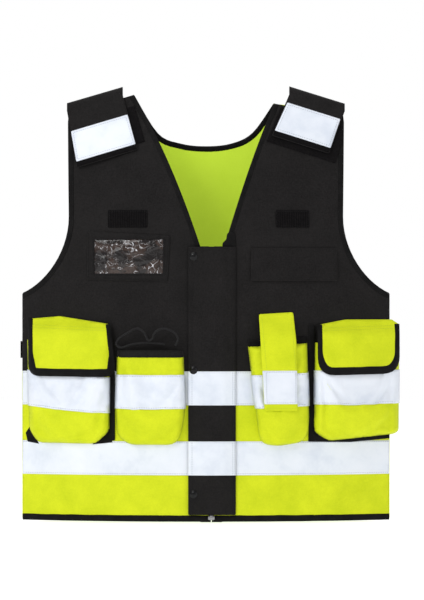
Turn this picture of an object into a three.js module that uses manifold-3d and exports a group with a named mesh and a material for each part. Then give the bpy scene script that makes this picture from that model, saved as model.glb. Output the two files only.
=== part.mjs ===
// High visibility vest: a sleeveless safety waistcoat with a zip, a storm flap, pockets and
// shoulder straps that fold over from the back and close on hook-and-loop pads.
// Millimetres, +Z up, front towards -Y. Heights below are measured from the hem, and the
// finished group is lowered so that the origin lies midway between the shoulders.
import * as THREE from 'three';
import { mergeVertices } from 'three/addons/utils/BufferGeometryUtils.js';
import Module from 'manifold-3d';

const wasm = await Module();
wasm.setup();

// ---- Driving dimensions -------------------------------------------------------------------

const GAP = 0.3;                 // clearance between neighbouring pieces
const CLOTH = 1.2;               // thickness of a sewn panel
const TAPE = 0.6;                // thickness of reflective tape
const HALF_WIDTH = 272;          // centre to side seam
const BOW = 72;                  // how far each panel bows out in front of the side seams
const BOW_POWER = 2.2;           // how flat the middle of the bow is
const BOW_TOP = 410;             // above this height the bow closes towards the shoulders
const FOLD_BOW = 10;             // what is left of the bow at the shoulder fold
const SHOULDER_Z = 620;          // height of the fold's centre line at mid strap
const SHOULDER_X = 165;          // mid strap
const SHOULDER_SLOPE = 0.287;    // fall of the shoulder line per unit outwards

const HEM = 10;                  // height of the hem binding
const BINDING = 7;               // width of the armhole and neck bindings
const STRIPE = 50;               // width of the reflective tape
const STRIPE_LOW = 69;           // bottom edge of the lower stripe
const STRIPE_HIGH = 172;         // bottom edge of the upper stripe
const COLOUR_SPLIT = 222;        // black above, lime below
const ARMPIT_Z = 336;            // bottom of the armhole at the side seam
const V_BOTTOM = 406;            // bottom of the V-neck

const ZIP_X = 8;                 // centre line of the zip
const ZIP_HALF_GAP = 4;          // centre line to each panel's edge
const FLAP_SEWN_X = 44;          // sewn edge of the storm flap, its hinge
const FLAP_FREE_X = -26;         // free edge of the storm flap
const STUD_X = -18;
const STUD_HEIGHTS = { top: 391, middle: 224, bottom: 41 };
const STUD_RADIUS = 6.3;

// Layers, as offsets outwards from the inside face of the panels
const ON_PANEL = CLOTH + GAP;
const POCKET_BACK = ON_PANEL + TAPE + GAP;

const GRID = HALF_WIDTH / 8;      // spacing of the surface grid across a big panel
const FINE_GRID = HALF_WIDTH / 15; // spacing on a bulging pocket

const COLOURS = {
  lime: { color: 0xd6e22c, roughness: 0.75, metalness: 0 },
  black: { color: 0x242122, roughness: 0.85, metalness: 0 },
  pile: { color: 0x151314, roughness: 1, metalness: 0 },
  silver: { color: 0xe6ecf2, roughness: 0.4, metalness: 0 },
  clear: { color: 0x5a5048, roughness: 0.1, metalness: 0 },
  stud: { color: 0x161616, roughness: 0.25, metalness: 0.2 },
  metal: { color: 0x8c8c8e, roughness: 0.35, metalness: 0.9 },
};

// ---- The vest's surface -------------------------------------------------------------------

const clamp01 = (t) => Math.min(1, Math.max(0, t));
const smooth = (t) => clamp01(t) ** 2 * (3 - 2 * clamp01(t));

function shoulderHeight(x) {
  return SHOULDER_Z - SHOULDER_SLOPE * (Math.abs(x) - SHOULDER_X);
}

// Distance of the inside face from the plane of the side seams
function bow(x, z) {
  const rise = Math.max(0, Math.min(1.25, (z - BOW_TOP) / (shoulderHeight(x) - BOW_TOP)));
  const depth = FOLD_BOW + (BOW - FOLD_BOW) * Math.cos((Math.PI / 2) * rise);
  const across = Math.abs(x) / HALF_WIDTH;
  const beyondSeam = -0.25 * (Math.abs(x) - HALF_WIDTH);
  return across > 1 ? beyondSeam : depth * (1 - across ** BOW_POWER);
}

const FRONT = -1;
const BACK = 1;

function surfaceY(side, x, z, offset) {
  return side * (GAP + bow(x, z) + offset);
}

// ---- Solids -------------------------------------------------------------------------------

function solidFromArrays(positions, indices) {
  const vertProperties = new Float32Array(positions);
  const triVerts = new Uint32Array(indices);
  return new wasm.Manifold(new wasm.Mesh({ numProp: 3, vertProperties, triVerts }));
}

function solidFromGeometry(geometry) {
  geometry.deleteAttribute('normal');
  geometry.deleteAttribute('uv');
  const merged = mergeVertices(geometry, 1e-4);
  return solidFromArrays(merged.attributes.position.array, merged.index.array);
}

// A closed body between two sheets of points, sheet 0 and sheet 1, over a grid of columns and rows.
// pointAt(u, v, sheet) gives [x, y, z] with u and v from 0 to 1.
function gridSolid(columns, rows, pointAt) {
  const positions = [];
  const indices = [];
  const at = (i, j, sheet) => (sheet * (rows + 1) + j) * (columns + 1) + i;
  for (const sheet of [0, 1]) {
    for (let j = 0; j <= rows; j += 1) {
      for (let i = 0; i <= columns; i += 1) {
        positions.push(...pointAt(i / columns, j / rows, sheet));
      }
    }
  }
  const quad = (a, b, c, d) => indices.push(a, b, c, a, c, d);
  for (let j = 0; j < rows; j += 1) {
    for (let i = 0; i < columns; i += 1) {
      quad(at(i, j, 1), at(i + 1, j, 1), at(i + 1, j + 1, 1), at(i, j + 1, 1));
      quad(at(i, j, 0), at(i, j + 1, 0), at(i + 1, j + 1, 0), at(i + 1, j, 0));
    }
  }
  for (let i = 0; i < columns; i += 1) {
    quad(at(i, 0, 0), at(i + 1, 0, 0), at(i + 1, 0, 1), at(i, 0, 1));
    quad(at(i + 1, rows, 0), at(i, rows, 0), at(i, rows, 1), at(i + 1, rows, 1));
  }
  for (let j = 0; j < rows; j += 1) {
    quad(at(0, j + 1, 0), at(0, j, 0), at(0, j, 1), at(0, j + 1, 1));
    quad(at(columns, j, 0), at(columns, j + 1, 0), at(columns, j + 1, 1), at(columns, j, 1));
  }
  const volume = solidFromArrays(positions, indices);
  if (volume.volume() > 0) return volume;
  for (let k = 0; k < indices.length; k += 3) {
    [indices[k + 1], indices[k + 2]] = [indices[k + 2], indices[k + 1]];
  }
  return solidFromArrays(positions, indices);
}

// An outline in X and Z carried right through the vest along Y
const THROUGH = 400;

function prism(shape, curveSegments = 8) {
  const geometry = new THREE.ExtrudeGeometry(shape, { depth: THROUGH, bevelEnabled: false, curveSegments });
  geometry.rotateX(Math.PI / 2);
  geometry.translate(0, THROUGH / 2, 0);
  return solidFromGeometry(geometry);
}

const value = (offset, x, z) => (typeof offset === 'function' ? offset(x, z) : offset);

// A layer of cloth on the front or back: the part of the outline between two offsets, and between
// two heights where they are given. Grid lines are shared by all layers, so that layers laid on
// each other have the same facets and stay parallel.
function layer(side, shape, inner, outer, { low, high, grid = GRID, rise = grid * 1.5 } = {}) {
  const points = shape.getPoints(8);
  const xs = points.map((p) => p.x);
  const zs = points.map((p) => p.y);
  const bottom = Math.max(low ?? -Infinity, Math.min(...zs));
  const top = Math.min(high ?? Infinity, Math.max(...zs));
  const left = Math.floor(Math.min(...xs) / grid - 0.1) * grid;
  const right = Math.ceil(Math.max(...xs) / grid + 0.1) * grid;
  const first = Math.floor(bottom / rise - 0.1) * rise;
  const last = Math.ceil(top / rise + 0.1) * rise;
  const columns = Math.round((right - left) / grid);
  const rows = Math.round((last - first) / rise);
  const block = gridSolid(columns, rows, (u, v, sheet) => {
    const x = left + (right - left) * u;
    const z = first + (last - first) * v;
    return [x, surfaceY(side, x, z, value(sheet ? outer : inner, x, z)), z];
  });
  const cut = block.intersect(prism(shape));
  const band = low !== undefined || high !== undefined;
  return band ? cut.intersect(prism(rectangle(left, right, bottom, top))) : cut;
}

// ---- Outlines -----------------------------------------------------------------------------

const toVectors = (points) => points.map(([x, z]) => new THREE.Vector2(x, z));
const mirrored = (points) => points.map((p) => new THREE.Vector2(-p.x, p.y));

function polygon(points) {
  return new THREE.Shape(toVectors(points));
}

function rectangle(left, right, bottom, top) {
  return polygon([[left, bottom], [right, bottom], [right, top], [left, top]]);
}

// The same open curve moved sideways, to the left of its direction
function shifted(points, distance) {
  return points.map((p, i) => {
    const before = points[Math.max(0, i - 1)];
    const after = points[Math.min(points.length - 1, i + 1)];
    const along = after.clone().sub(before).normalize();
    return new THREE.Vector2(p.x - along.y * distance, p.y + along.x * distance);
  });
}

function ribbon(points, width) {
  return new THREE.Shape([...points, ...shifted(points, width).reverse()]);
}

// A closed convex outline drawn in by a margin, its points running anticlockwise
function inset(points, margin) {
  const count = points.length;
  const edges = points.map(([x, z], i) => {
    const [nextX, nextZ] = points[(i + 1) % count];
    const length = Math.hypot(nextX - x, nextZ - z);
    const along = [(nextX - x) / length, (nextZ - z) / length];
    return { from: [x - along[1] * margin, z + along[0] * margin], along };
  });
  return edges.map((edge, i) => {
    const before = edges[(i + count - 1) % count];
    const cross = before.along[0] * edge.along[1] - before.along[1] * edge.along[0];
    const dx = edge.from[0] - before.from[0];
    const dz = edge.from[1] - before.from[1];
    const t = (dx * edge.along[1] - dz * edge.along[0]) / cross;
    return [before.from[0] + before.along[0] * t, before.from[1] + before.along[1] * t];
  });
}

// Armhole edge on the wearer's left (+X), from the side seam up to the shoulder
const ARMHOLE_X = 202;
const armholeCurve = new THREE.Path();
armholeCurve.moveTo(HALF_WIDTH + 1.5, ARMPIT_Z);
armholeCurve.bezierCurveTo(HALF_WIDTH - 37, ARMPIT_Z + 16, ARMHOLE_X, 400, ARMHOLE_X, 450);
armholeCurve.lineTo(ARMHOLE_X + 2, 590);
const armhole = armholeCurve.getPoints(8);

const V_RIGHT = { shoulder: [-108, 631], bend: [-55, 545], bottom: [-9, V_BOTTOM], tip: [-205, 603] };
const V_LEFT = { shoulder: [102, 618], bend: [68, 540], bottom: [28, V_BOTTOM], tip: [204, 600] };

function neckCurve({ shoulder, bend, bottom }) {
  const curve = new THREE.QuadraticBezierCurve(...toVectors([shoulder, bend, bottom]));
  return curve.getPoints(7);
}

// A front half, from its edge beside the zip round to the V-neck
function frontOutline(handed, neck) {
  const edge = ZIP_X + handed * ZIP_HALF_GAP;
  const arm = shifted(armhole, BINDING + GAP);
  const armPoints = handed > 0 ? arm : mirrored(arm);
  const side = handed * HALF_WIDTH;
  return new THREE.Shape([
    new THREE.Vector2(edge, HEM + GAP),
    new THREE.Vector2(side, HEM + GAP),
    new THREE.Vector2(side, ARMPIT_Z - BINDING - GAP - 1),
    ...armPoints.slice(1),
    new THREE.Vector2(neck.tip[0] - handed * BINDING, neck.tip[1]),
    ...neckCurve(neck),
    new THREE.Vector2(edge, V_BOTTOM),
  ]);
}

const rightFront = frontOutline(-1, V_RIGHT);
const leftFront = frontOutline(1, V_LEFT);

const backNeck = new THREE.SplineCurve(toVectors([
  [106, 631], [68, 577], [38, 560], [0, 556], [-38, 560], [-68, 575], [-107, 631],
])).getPoints(18);

function backOutline() {
  const arm = shifted(armhole, BINDING + GAP).slice(1);
  const neck = shifted(backNeck, BINDING + GAP);
  return new THREE.Shape([
    new THREE.Vector2(-HALF_WIDTH, HEM + GAP),
    new THREE.Vector2(HALF_WIDTH, HEM + GAP),
    new THREE.Vector2(HALF_WIDTH, ARMPIT_Z - BINDING - GAP - 1),
    ...arm,
    new THREE.Vector2(197, shoulderHeight(197)),
    new THREE.Vector2(115, shoulderHeight(115)),
    ...neck,
    new THREE.Vector2(-116, shoulderHeight(116)),
    new THREE.Vector2(-197, shoulderHeight(197)),
    ...mirrored(arm).reverse(),
    new THREE.Vector2(-HALF_WIDTH, ARMPIT_Z - BINDING - GAP - 1),
  ]);
}

// ---- The scene graph ----------------------------------------------------------------------

const vest = new THREE.Group();
vest.position.z = -SHOULDER_Z;

function addMesh(name, geometry, colour, parent = vest) {
  const mesh = new THREE.Mesh(geometry, new THREE.MeshStandardMaterial(COLOURS[colour]));
  mesh.name = name;
  parent.add(mesh);
  return mesh;
}

function addSolid(name, solid, colour, parent = vest) {
  const { vertProperties, triVerts } = solid.getMesh();
  const geometry = new THREE.BufferGeometry();
  geometry.setAttribute('position', new THREE.BufferAttribute(vertProperties, 3));
  geometry.setIndex(new THREE.BufferAttribute(triVerts, 1));
  geometry.computeVertexNormals();
  return addMesh(name, geometry, colour, parent);
}

const HANDS = { right: -1, left: 1 };
const fronts = { right: rightFront, left: leftFront };
const stripes = { lower: STRIPE_LOW, upper: STRIPE_HIGH };

// ---- Panels, tapes and bindings -----------------------------------------------------------

// Slit in the left front, which opens into the chest pocket's bag under the chest flap
const SLIT = { left: 76, right: 183, bottom: 384, top: 394 };
const slitShape = rectangle(SLIT.left, SLIT.right, SLIT.bottom, SLIT.top);

for (const hand of Object.keys(HANDS)) {
  const shape = fronts[hand];
  const lower = layer(FRONT, shape, 0, CLOTH, { high: COLOUR_SPLIT - GAP / 2 });
  const upper = layer(FRONT, shape, 0, CLOTH, { low: COLOUR_SPLIT + GAP / 2 });
  addSolid(`front_${hand}_lower`, lower, 'lime');
  addSolid(`front_${hand}_upper`, hand === 'left' ? upper.subtract(prism(slitShape)) : upper, 'black');
  for (const [level, bottom] of Object.entries(stripes)) {
    const tape = layer(FRONT, shape, ON_PANEL, ON_PANEL + TAPE, { low: bottom, high: bottom + STRIPE });
    addSolid(`front_${hand}_tape_${level}`, tape, 'silver');
  }
}

const back = backOutline();
for (const [level, bottom] of Object.entries(stripes)) {
  const tape = layer(BACK, back, ON_PANEL, ON_PANEL + TAPE, { low: bottom, high: bottom + STRIPE });
  addSolid(`back_tape_${level}`, tape, 'silver');
}

// Bindings wrap the cloth's edge, so they are a little thicker than the panels
const WRAP_IN = -0.5;
const WRAP_OUT = CLOTH + 0.5;
const BELOW_ZIP = 6;             // half the width left free of hem for the zip's box

function hemBinding() {
  const seam = HALF_WIDTH + 1.5;
  const rightPart = layer(FRONT, rectangle(-seam, ZIP_X - BELOW_ZIP, 0, HEM), WRAP_IN, WRAP_OUT);
  const leftPart = layer(FRONT, rectangle(ZIP_X + BELOW_ZIP, seam, 0, HEM), WRAP_IN, WRAP_OUT);
  const backPart = layer(BACK, rectangle(-seam, seam, 0, HEM), WRAP_IN, WRAP_OUT);
  return backPart.add(rightPart).add(leftPart);
}

function armholeBinding(handed) {
  const points = handed > 0 ? armhole : mirrored(armhole).reverse();
  const shape = ribbon(points, BINDING);
  return layer(FRONT, shape, WRAP_IN, WRAP_OUT).add(layer(BACK, shape, WRAP_IN, WRAP_OUT));
}

addSolid('hem_binding', hemBinding(), 'black');
addSolid('armhole_binding_right', armholeBinding(-1), 'black');
addSolid('armhole_binding_left', armholeBinding(1), 'black');
addSolid('neck_binding_back', layer(BACK, ribbon(backNeck, BINDING), WRAP_IN, WRAP_OUT), 'black');

// ---- Shoulder straps ----------------------------------------------------------------------

const STRAP_THICK = 1.5;
const STRAP_ROUND = 12;          // outer radius of the strap's fold
const LOOP_THICK = 1.4;
const STRAP_OFF = ON_PANEL + LOOP_THICK + 1;   // the strap's inside face over the loop pad
const HOOK_STRIP = 8;            // bare strip of hook tape at the strap's end
const PATCH_LONG = 46;           // reflective patch, measured along the strap
const PATCH_SPAN = 0.97;         // part of the strap's width that the patch and hook strip fill
const STRAP_ROW = 12;            // spacing of the strap's grid along it

// The strap's slope across it and along it, in degrees, and its loop pad on the front shoulder: the
// pad's end below the fold and its two sides, as parts of the strap's half width
const STRAPS = {
  right: {
    x: -SHOULDER_X, length: 86, half: 43, spread: 0.045, tilt: 16.3, lean: 12.9, pad: [78, -0.85, 1.29],
  },
  left: {
    x: SHOULDER_X, length: 68, half: 43, spread: 0.02, tilt: -17.3, lean: -21.7, pad: [79, -1.09, 1.3],
  },
};

// A point of the strap at a distance along it from the fold and across it, in X and Z
function strapPoint({ half, spread, tilt, lean, x }, along, across) {
  const angle = THREE.MathUtils.degToRad(tilt);
  const down = THREE.MathUtils.degToRad(lean);
  const reach = across * (half + spread * Math.max(0, along));
  return {
    x: x + Math.cos(angle) * reach + Math.sin(down) * along,
    z: SHOULDER_Z + Math.sin(angle) * reach - Math.cos(down) * along,
  };
}

const FOLD_START = 0.02;         // radians between the fold's two halves and its top line

// A point on a strap's sheet. Along runs from -1 to 0 round the fold, then in millimetres down the
// strap; lift counts outwards from the strap's outer face.
function strapSurface(strap, side, along, across, lift) {
  const { x, z } = strapPoint(strap, Math.max(0, along), across);
  const out = GAP + bow(x, z) + STRAP_OFF + STRAP_THICK + lift;
  if (along >= 0) return [x, side * out, z];
  const turn = FOLD_START + (Math.PI / 2 - FOLD_START) * (1 + along);
  return [x, side * out * Math.sin(turn), z + (STRAP_ROUND + lift) * Math.cos(turn)];
}

function strapSheet(strap, side, from, to, inner, outer, edge = 1) {
  const fold = from < 0 ? [-1, -0.75, -0.5, -0.25] : [];
  const start = Math.max(0, from);
  const count = Math.ceil((to - start) / STRAP_ROW);
  const straight = Array.from({ length: count + 1 }, (_, k) => start + (k / count) * (to - start));
  const steps = [...fold, ...straight];
  const rows = steps.length - 1;
  return gridSolid(4, rows, (u, v, sheet) => {
    const across = (u * 2 - 1) * edge;
    return strapSurface(strap, side, steps[Math.round(v * rows)], across, sheet ? outer : inner);
  });
}

let backSolid = layer(BACK, back, 0, CLOTH);
const STRAP_BASE = 26;           // how far the strap's back end reaches down the back panel
const SEWN_START = 8;            // below the fold, where the seam to the back panel starts
const PAD_START = 22;            // below the fold, where the loop pad starts

for (const [hand, strap] of Object.entries(STRAPS)) {
  const patchEnd = strap.length - HOOK_STRIP - GAP;
  const body = strapSheet(strap, FRONT, -1, strap.length, -STRAP_THICK, 0);
  const hookStart = strap.length - HOOK_STRIP;
  const patch = strapSheet(strap, FRONT, patchEnd - PATCH_LONG, patchEnd, GAP, GAP + TAPE, PATCH_SPAN);
  const hook = strapSheet(strap, FRONT, hookStart, strap.length, GAP, GAP + TAPE, PATCH_SPAN);
  const group = new THREE.Group();
  vest.add(group);
  addSolid(`strap_${hand}`, body, 'black', group);
  addSolid(`strap_${hand}_patch`, patch, 'silver', group);
  addSolid(`strap_${hand}_hook`, hook, 'pile', group);
  const fold = strapSheet(strap, BACK, -1, STRAP_BASE, -STRAP_THICK, 0);
  const sewnInner = -STRAP_THICK - STRAP_OFF + CLOTH / 2;
  const sewn = strapSheet(strap, BACK, SEWN_START, STRAP_BASE, sewnInner, -STRAP_THICK / 2, 0.7);
  backSolid = backSolid.add(fold).add(sewn);
  addSolid(`shoulder_loop_${hand}`, loopPad(strap).intersect(prism(fronts[hand])), 'pile');
}
addSolid('back_panel', backSolid, 'lime');

// Hook-and-loop pad on the front shoulder, under the strap
function loopPad(strap) {
  const [end, outer, inner] = strap.pad;
  const corners = [[PAD_START, outer], [end, outer], [end, inner], [PAD_START, inner]];
  const outline = corners.map(([along, across]) => {
    const { x, z } = strapPoint(strap, along, across);
    return [x, z];
  });
  return layer(FRONT, polygon(outline), ON_PANEL, ON_PANEL + LOOP_THICK);
}

// ---- Zip ----------------------------------------------------------------------------------

const ZIP_TAPE = 16;             // half width of the zip's cloth tape
const ZIP_TOP = 400;
const TEETH_BOTTOM = 11;
const TEETH_TOP = 398;
const TEETH_GAP = 0.6;           // half the gap between the two rows
const TEETH_REACH = 2.8;         // centre line to the far side of a row of teeth
const ZIP_BEHIND = WRAP_IN - GAP; // the zip's cloth tape lies behind the panels and the hem

for (const [hand, handed] of Object.entries(HANDS)) {
  const inside = ZIP_X + handed * TEETH_GAP;
  const span = (far, low, high) => rectangle(
    Math.min(inside, ZIP_X + handed * far), Math.max(inside, ZIP_X + handed * far), low, high);
  const tape = layer(FRONT, span(ZIP_TAPE, 0, ZIP_TOP), ZIP_BEHIND - CLOTH, ZIP_BEHIND, { rise: 200 });
  const teeth = layer(FRONT, span(TEETH_REACH, TEETH_BOTTOM, TEETH_TOP), -CLOTH, CLOTH + 0.6, { rise: 200 });
  addSolid(`zip_half_${hand}`, tape.add(teeth), 'black');
}

const zipY = surfaceY(FRONT, ZIP_X, 200, 0);

// A box on the zip's centre line, with depths as offsets from the panels' inside face
function zipBlock({ half, low, high }, inner, outer) {
  const geometry = new THREE.BoxGeometry(2 * half, outer - inner, high - low);
  geometry.translate(ZIP_X, zipY - (inner + outer) / 2, (low + high) / 2);
  return geometry;
}

const ZIP_BOX = { half: 5, low: 3, high: 10 };
addMesh('zip_box', zipBlock(ZIP_BOX, 0, 3), 'metal');

const SLIDER = { half: 4.8, low: 384, high: 398 };
const SLIDER_POST = { half: TEETH_GAP / 2, low: 391, high: 398 };
const SLIDER_FRONT = [2.5, 3.7];  // offsets of the slider's front plate
const SLIDER_BACK = [-3.5, -2.3]; // and of its back plate
const zipSlider = new THREE.Group();
vest.add(zipSlider);
const frontPlate = solidFromGeometry(zipBlock(SLIDER, ...SLIDER_FRONT));
const backPlate = solidFromGeometry(zipBlock(SLIDER, ...SLIDER_BACK));
const post = solidFromGeometry(zipBlock(SLIDER_POST, SLIDER_BACK[0], SLIDER_FRONT[1]));
addSolid('zip_slider', frontPlate.add(backPlate).add(post), 'metal', zipSlider);

const PULL = { half: 3, low: 358, high: 394 };
addMesh('zip_pull', zipBlock(PULL, 4, 5.2), 'metal', zipSlider);

// ---- Storm flap ---------------------------------------------------------------------------

const FLAP_RAISED = 6.5;         // the flap's inside face over the zip
const FLAP_FREE = 3.4;           // and at its free edge, which rests on the press studs
const flapBody = new THREE.Group();
vest.add(flapBody);

function flapInside(x) {
  const fromSewn = smooth((FLAP_SEWN_X - x) / 22);
  const toFree = smooth((ZIP_X - 14 - x) / 18);
  return POCKET_BACK + (FLAP_RAISED - POCKET_BACK) * fromSewn + (FLAP_FREE - FLAP_RAISED) * toFree;
}

const FLAP_GRID = { grid: 8, rise: 50 };
const flapShape = rectangle(FLAP_FREE_X, FLAP_SEWN_X, HEM + 2, V_BOTTOM - 0.5);
const flapOutside = (x) => flapInside(x) + CLOTH;
addSolid('storm_flap', layer(FRONT, flapShape, flapInside, flapOutside, FLAP_GRID), 'black', flapBody);
const insertShape = rectangle(FLAP_FREE_X + 1, FLAP_SEWN_X - 1, 0, V_BOTTOM);
for (const [level, bottom] of Object.entries(stripes)) {
  const insert = layer(
    FRONT, insertShape, (x) => flapOutside(x) + GAP, (x) => flapOutside(x) + GAP + TAPE,
    { low: bottom, high: bottom + STRIPE, ...FLAP_GRID });
  addSolid(`storm_flap_tape_${level}`, insert, 'silver', flapBody);
}

function capGeometry(radius, height) {
  const profile = toVectors([
    [0, 0], [radius, 0], [radius, height * 0.3], [radius * 0.8, height * 0.75], [radius * 0.45, height],
    [0, height]]);
  return new THREE.LatheGeometry(profile, 20);
}

for (const [place, height] of Object.entries(STUD_HEIGHTS)) {
  const cap = addMesh(`snap_cap_${place}`, capGeometry(STUD_RADIUS, 2.6), 'stud', flapBody);
  const lift = Math.max(...[-1, 0, 1].map((k) => flapOutside(STUD_X + k * STUD_RADIUS)));
  cap.rotation.x = Math.PI;
  cap.position.set(STUD_X, surfaceY(FRONT, STUD_X, height, lift + GAP + TAPE + 2 * GAP), height);
}

// ---- Chest --------------------------------------------------------------------------------

// A plate with a flat outer face, its back shaped to the panel
function flatPatch(left, right, bottom, top, lift) {
  const x = (left + right) / 2;
  const z = (bottom + top) / 2;
  const step = 1;
  const slopeX = (bow(x + step, z) - bow(x - step, z)) / (2 * step);
  const slopeZ = (bow(x, z + step) - bow(x, z - step)) / (2 * step);
  const outward = new THREE.Vector3(-slopeX, -1, -slopeZ).normalize();
  const deep = 12;
  const plate = new THREE.BoxGeometry(right - left, deep, top - bottom);
  plate.translate(0, deep / 2, 0);
  plate.applyQuaternion(new THREE.Quaternion().setFromUnitVectors(new THREE.Vector3(0, -1, 0), outward));
  const face = new THREE.Vector3(x, surfaceY(FRONT, x, z, 0), z).addScaledVector(outward, lift);
  plate.translate(face.x, face.y, face.z);
  const behind = layer(FRONT, rectangle(left - 20, right + 20, bottom - 20, top + 20), -40, ON_PANEL);
  return solidFromGeometry(plate).subtract(behind);
}

const CHEST_PATCHES = {
  right: { left: -144, right: -86, bottom: 434, top: 459 },
  left: { left: 103, right: 152, bottom: 434, top: 459 },
};
const PATCH_LIFT = 3.6;          // the flat face's distance from the panel's inside face
for (const [hand, p] of Object.entries(CHEST_PATCHES)) {
  addSolid(`chest_loop_${hand}`, flatPatch(p.left, p.right, p.bottom, p.top, PATCH_LIFT), 'pile');
}

const CARD_POCKET = [[-176, 356], [-56, 354], [-52, 422], [-174, 429]];
const CARD_WINDOW = { left: -164, right: -63, bottom: 366, top: 416 };
const cardFrame = layer(FRONT, polygon(CARD_POCKET), ON_PANEL, ON_PANEL + CLOTH);

function windowOutline(margin) {
  const { left, right, bottom, top } = CARD_WINDOW;
  return rectangle(left + margin, right - margin, bottom + margin, top - margin);
}

const windowHole = prism(windowOutline(0));
const cardWindow = layer(FRONT, windowOutline(GAP), ON_PANEL, ON_PANEL + TAPE);
addSolid('id_pocket', cardFrame.subtract(windowHole), 'black');
addSolid('id_window', cardWindow, 'clear');

// The chest pocket's bag hangs inside the panel, behind a slit that its flap covers
const CHEST_FLAP = { left: 66, right: 193, bottom: 355, top: 404 };
const BAG_DEEP = 12;
const BAG_BOTTOM = 290;
const bagShape = rectangle(SLIT.left - 4, SLIT.right + 4, BAG_BOTTOM, SLIT.top + 4);
const cavityShape = rectangle(SLIT.left - 2, SLIT.right + 2, BAG_BOTTOM + 2, SLIT.top);
const bagOuter = layer(FRONT, bagShape, -BAG_DEEP, -GAP);
const bagCavity = layer(FRONT, cavityShape, -BAG_DEEP + CLOTH, -GAP - CLOTH);
const bagMouth = layer(FRONT, slitShape, -BAG_DEEP / 2, 2);
addSolid('chest_pocket', bagOuter.subtract(bagCavity).subtract(bagMouth), 'black');
const chestFlapShape = rectangle(CHEST_FLAP.left, CHEST_FLAP.right, CHEST_FLAP.bottom, CHEST_FLAP.top);
addSolid('chest_flap', layer(FRONT, chestFlapShape, ON_PANEL, ON_PANEL + CLOTH), 'black');

// ---- Pockets ------------------------------------------------------------------------------

const POCKETS = {
  right_cargo: {
    outline: [[-262, 135], [-249, 116], [-163, 115], [-143, 133], [-142, 268], [-265, 268]],
    deep: 28, mouth: 0.5, tape: [224, 213, 53],
  },
  tool_pocket: {
    outline: [[-133, 167], [-131, 130], [-121, 119], [-109, 114], [-50, 114], [-39, 122], [-34, 141],
      [-30.5, 166], [-33, 244], [-131, 244]],
    deep: 20, mouth: 0.6, tape: [217, 217, 50],
  },
  radio_pocket: {
    outline: [[80, 122], [87, 113], [106, 110], [139, 118], [150, 129], [152.5, 150], [149, 264], [62, 259]],
    deep: 22, mouth: 0.6, tape: [216, 220, 49],
  },
  left_cargo: {
    outline: [[159, 133], [181, 119], [277, 128], [286, 132], [287, 264], [161, 264]],
    deep: 28, mouth: 0.5, tape: [223, 224, 50],
  },
};
const POCKET_EDGE = 6;           // depth of a bag at its side seams
const POCKET_GRID = { grid: FINE_GRID, rise: 22 };

// How far a bag's outer face stands out from the panel, as an offset
function bagFace({ outline, deep, mouth }) {
  const xs = outline.map(([x]) => x);
  const zs = outline.map(([, z]) => z);
  const middle = (Math.min(...xs) + Math.max(...xs)) / 2;
  const half = (Math.max(...xs) - Math.min(...xs)) / 2;
  const bottom = Math.min(...zs);
  const top = Math.max(...zs);
  const ramp = (top - bottom) * 0.4;
  return (x, z) => {
    const across = Math.sqrt(1 - clamp01(Math.abs(x - middle) / half) ** 3);
    const rising = Math.sin((Math.PI / 2) * clamp01((z - bottom) / ramp));
    const closing = mouth + (1 - mouth) * Math.sin((Math.PI / 2) * clamp01((top - z) / ramp));
    return POCKET_BACK + POCKET_EDGE + (deep - POCKET_EDGE) * across * rising * closing;
  };
}

function bagSolid({ outline, face }) {
  const top = Math.max(...outline.map(([, z]) => z));
  const opened = inset(outline, CLOTH).map(([x, z]) => [x, z > top - 12 ? z + 12 : z]);
  const cavity = layer(
    FRONT, polygon(opened), POCKET_BACK + CLOTH, (x, z) => face(x, z) - CLOTH, POCKET_GRID);
  return layer(FRONT, polygon(outline), POCKET_BACK, face, POCKET_GRID).subtract(cavity);
}

function bagTape({ outline, face, tape: [topLeft, topRight, wide] }) {
  const xs = outline.map(([x]) => x);
  const left = Math.min(...xs);
  const right = Math.max(...xs);
  const band = polygon([
    [left, topLeft - wide], [right, topRight - wide], [right, topRight], [left, topLeft]]);
  const whole = layer(
    FRONT, polygon(inset(outline, 1)), (x, z) => face(x, z) + GAP, (x, z) => face(x, z) + GAP + TAPE,
    POCKET_GRID);
  return whole.intersect(prism(band));
}

for (const [name, pocket] of Object.entries(POCKETS)) {
  pocket.face = bagFace(pocket);
  addSolid(name.endsWith('cargo') ? `${name}_bag` : name, bagSolid(pocket), 'lime');
  addSolid(`${name}_tape`, bagTape(pocket), 'silver');
}

// Bound mouth of the radio pocket and the drawcord's channel on the tool pocket: a strip that
// caps the bag's upper edge, front side only
function mouthStrip(pocket, corners, above) {
  const face = pocket.face;
  return layer(
    FRONT, polygon(corners), (x, z) => face(x, z) - CLOTH, (x, z) => face(x, z) + above, POCKET_GRID);
}

const channel = mouthStrip(
  POCKETS.tool_pocket, [[-131, 244.3], [-33, 244.3], [-34, 253], [-130, 253]], 1.5);
addSolid('tool_pocket_channel', channel, 'black');
const mouthBinding = mouthStrip(
  POCKETS.radio_pocket, [[62, 259.3], [149, 264.3], [149, 275], [61, 269]], 0.4);
addSolid('radio_pocket_binding', mouthBinding, 'black');

// Cargo flaps: sewn to the panel above the bag, falling over its face
const CARGO_FLAPS = {
  right: {
    pocket: 'right_cargo',
    outline: [[-259, 218], [-247, 216], [-139, 216], [-135, 232], [-140, 300], [-244, 303], [-264, 298]],
  },
  left: {
    pocket: 'left_cargo',
    outline: [[168, 226], [184, 217], [276, 219], [285, 226], [287, 296], [262, 299], [172, 293]],
  },
};
const FLAP_RAMP = 26;            // height over which a flap comes out over its bag
const FLAP_CLEAR = GAP + TAPE + 0.9;
const FLAP_BINDING = 8;

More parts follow.
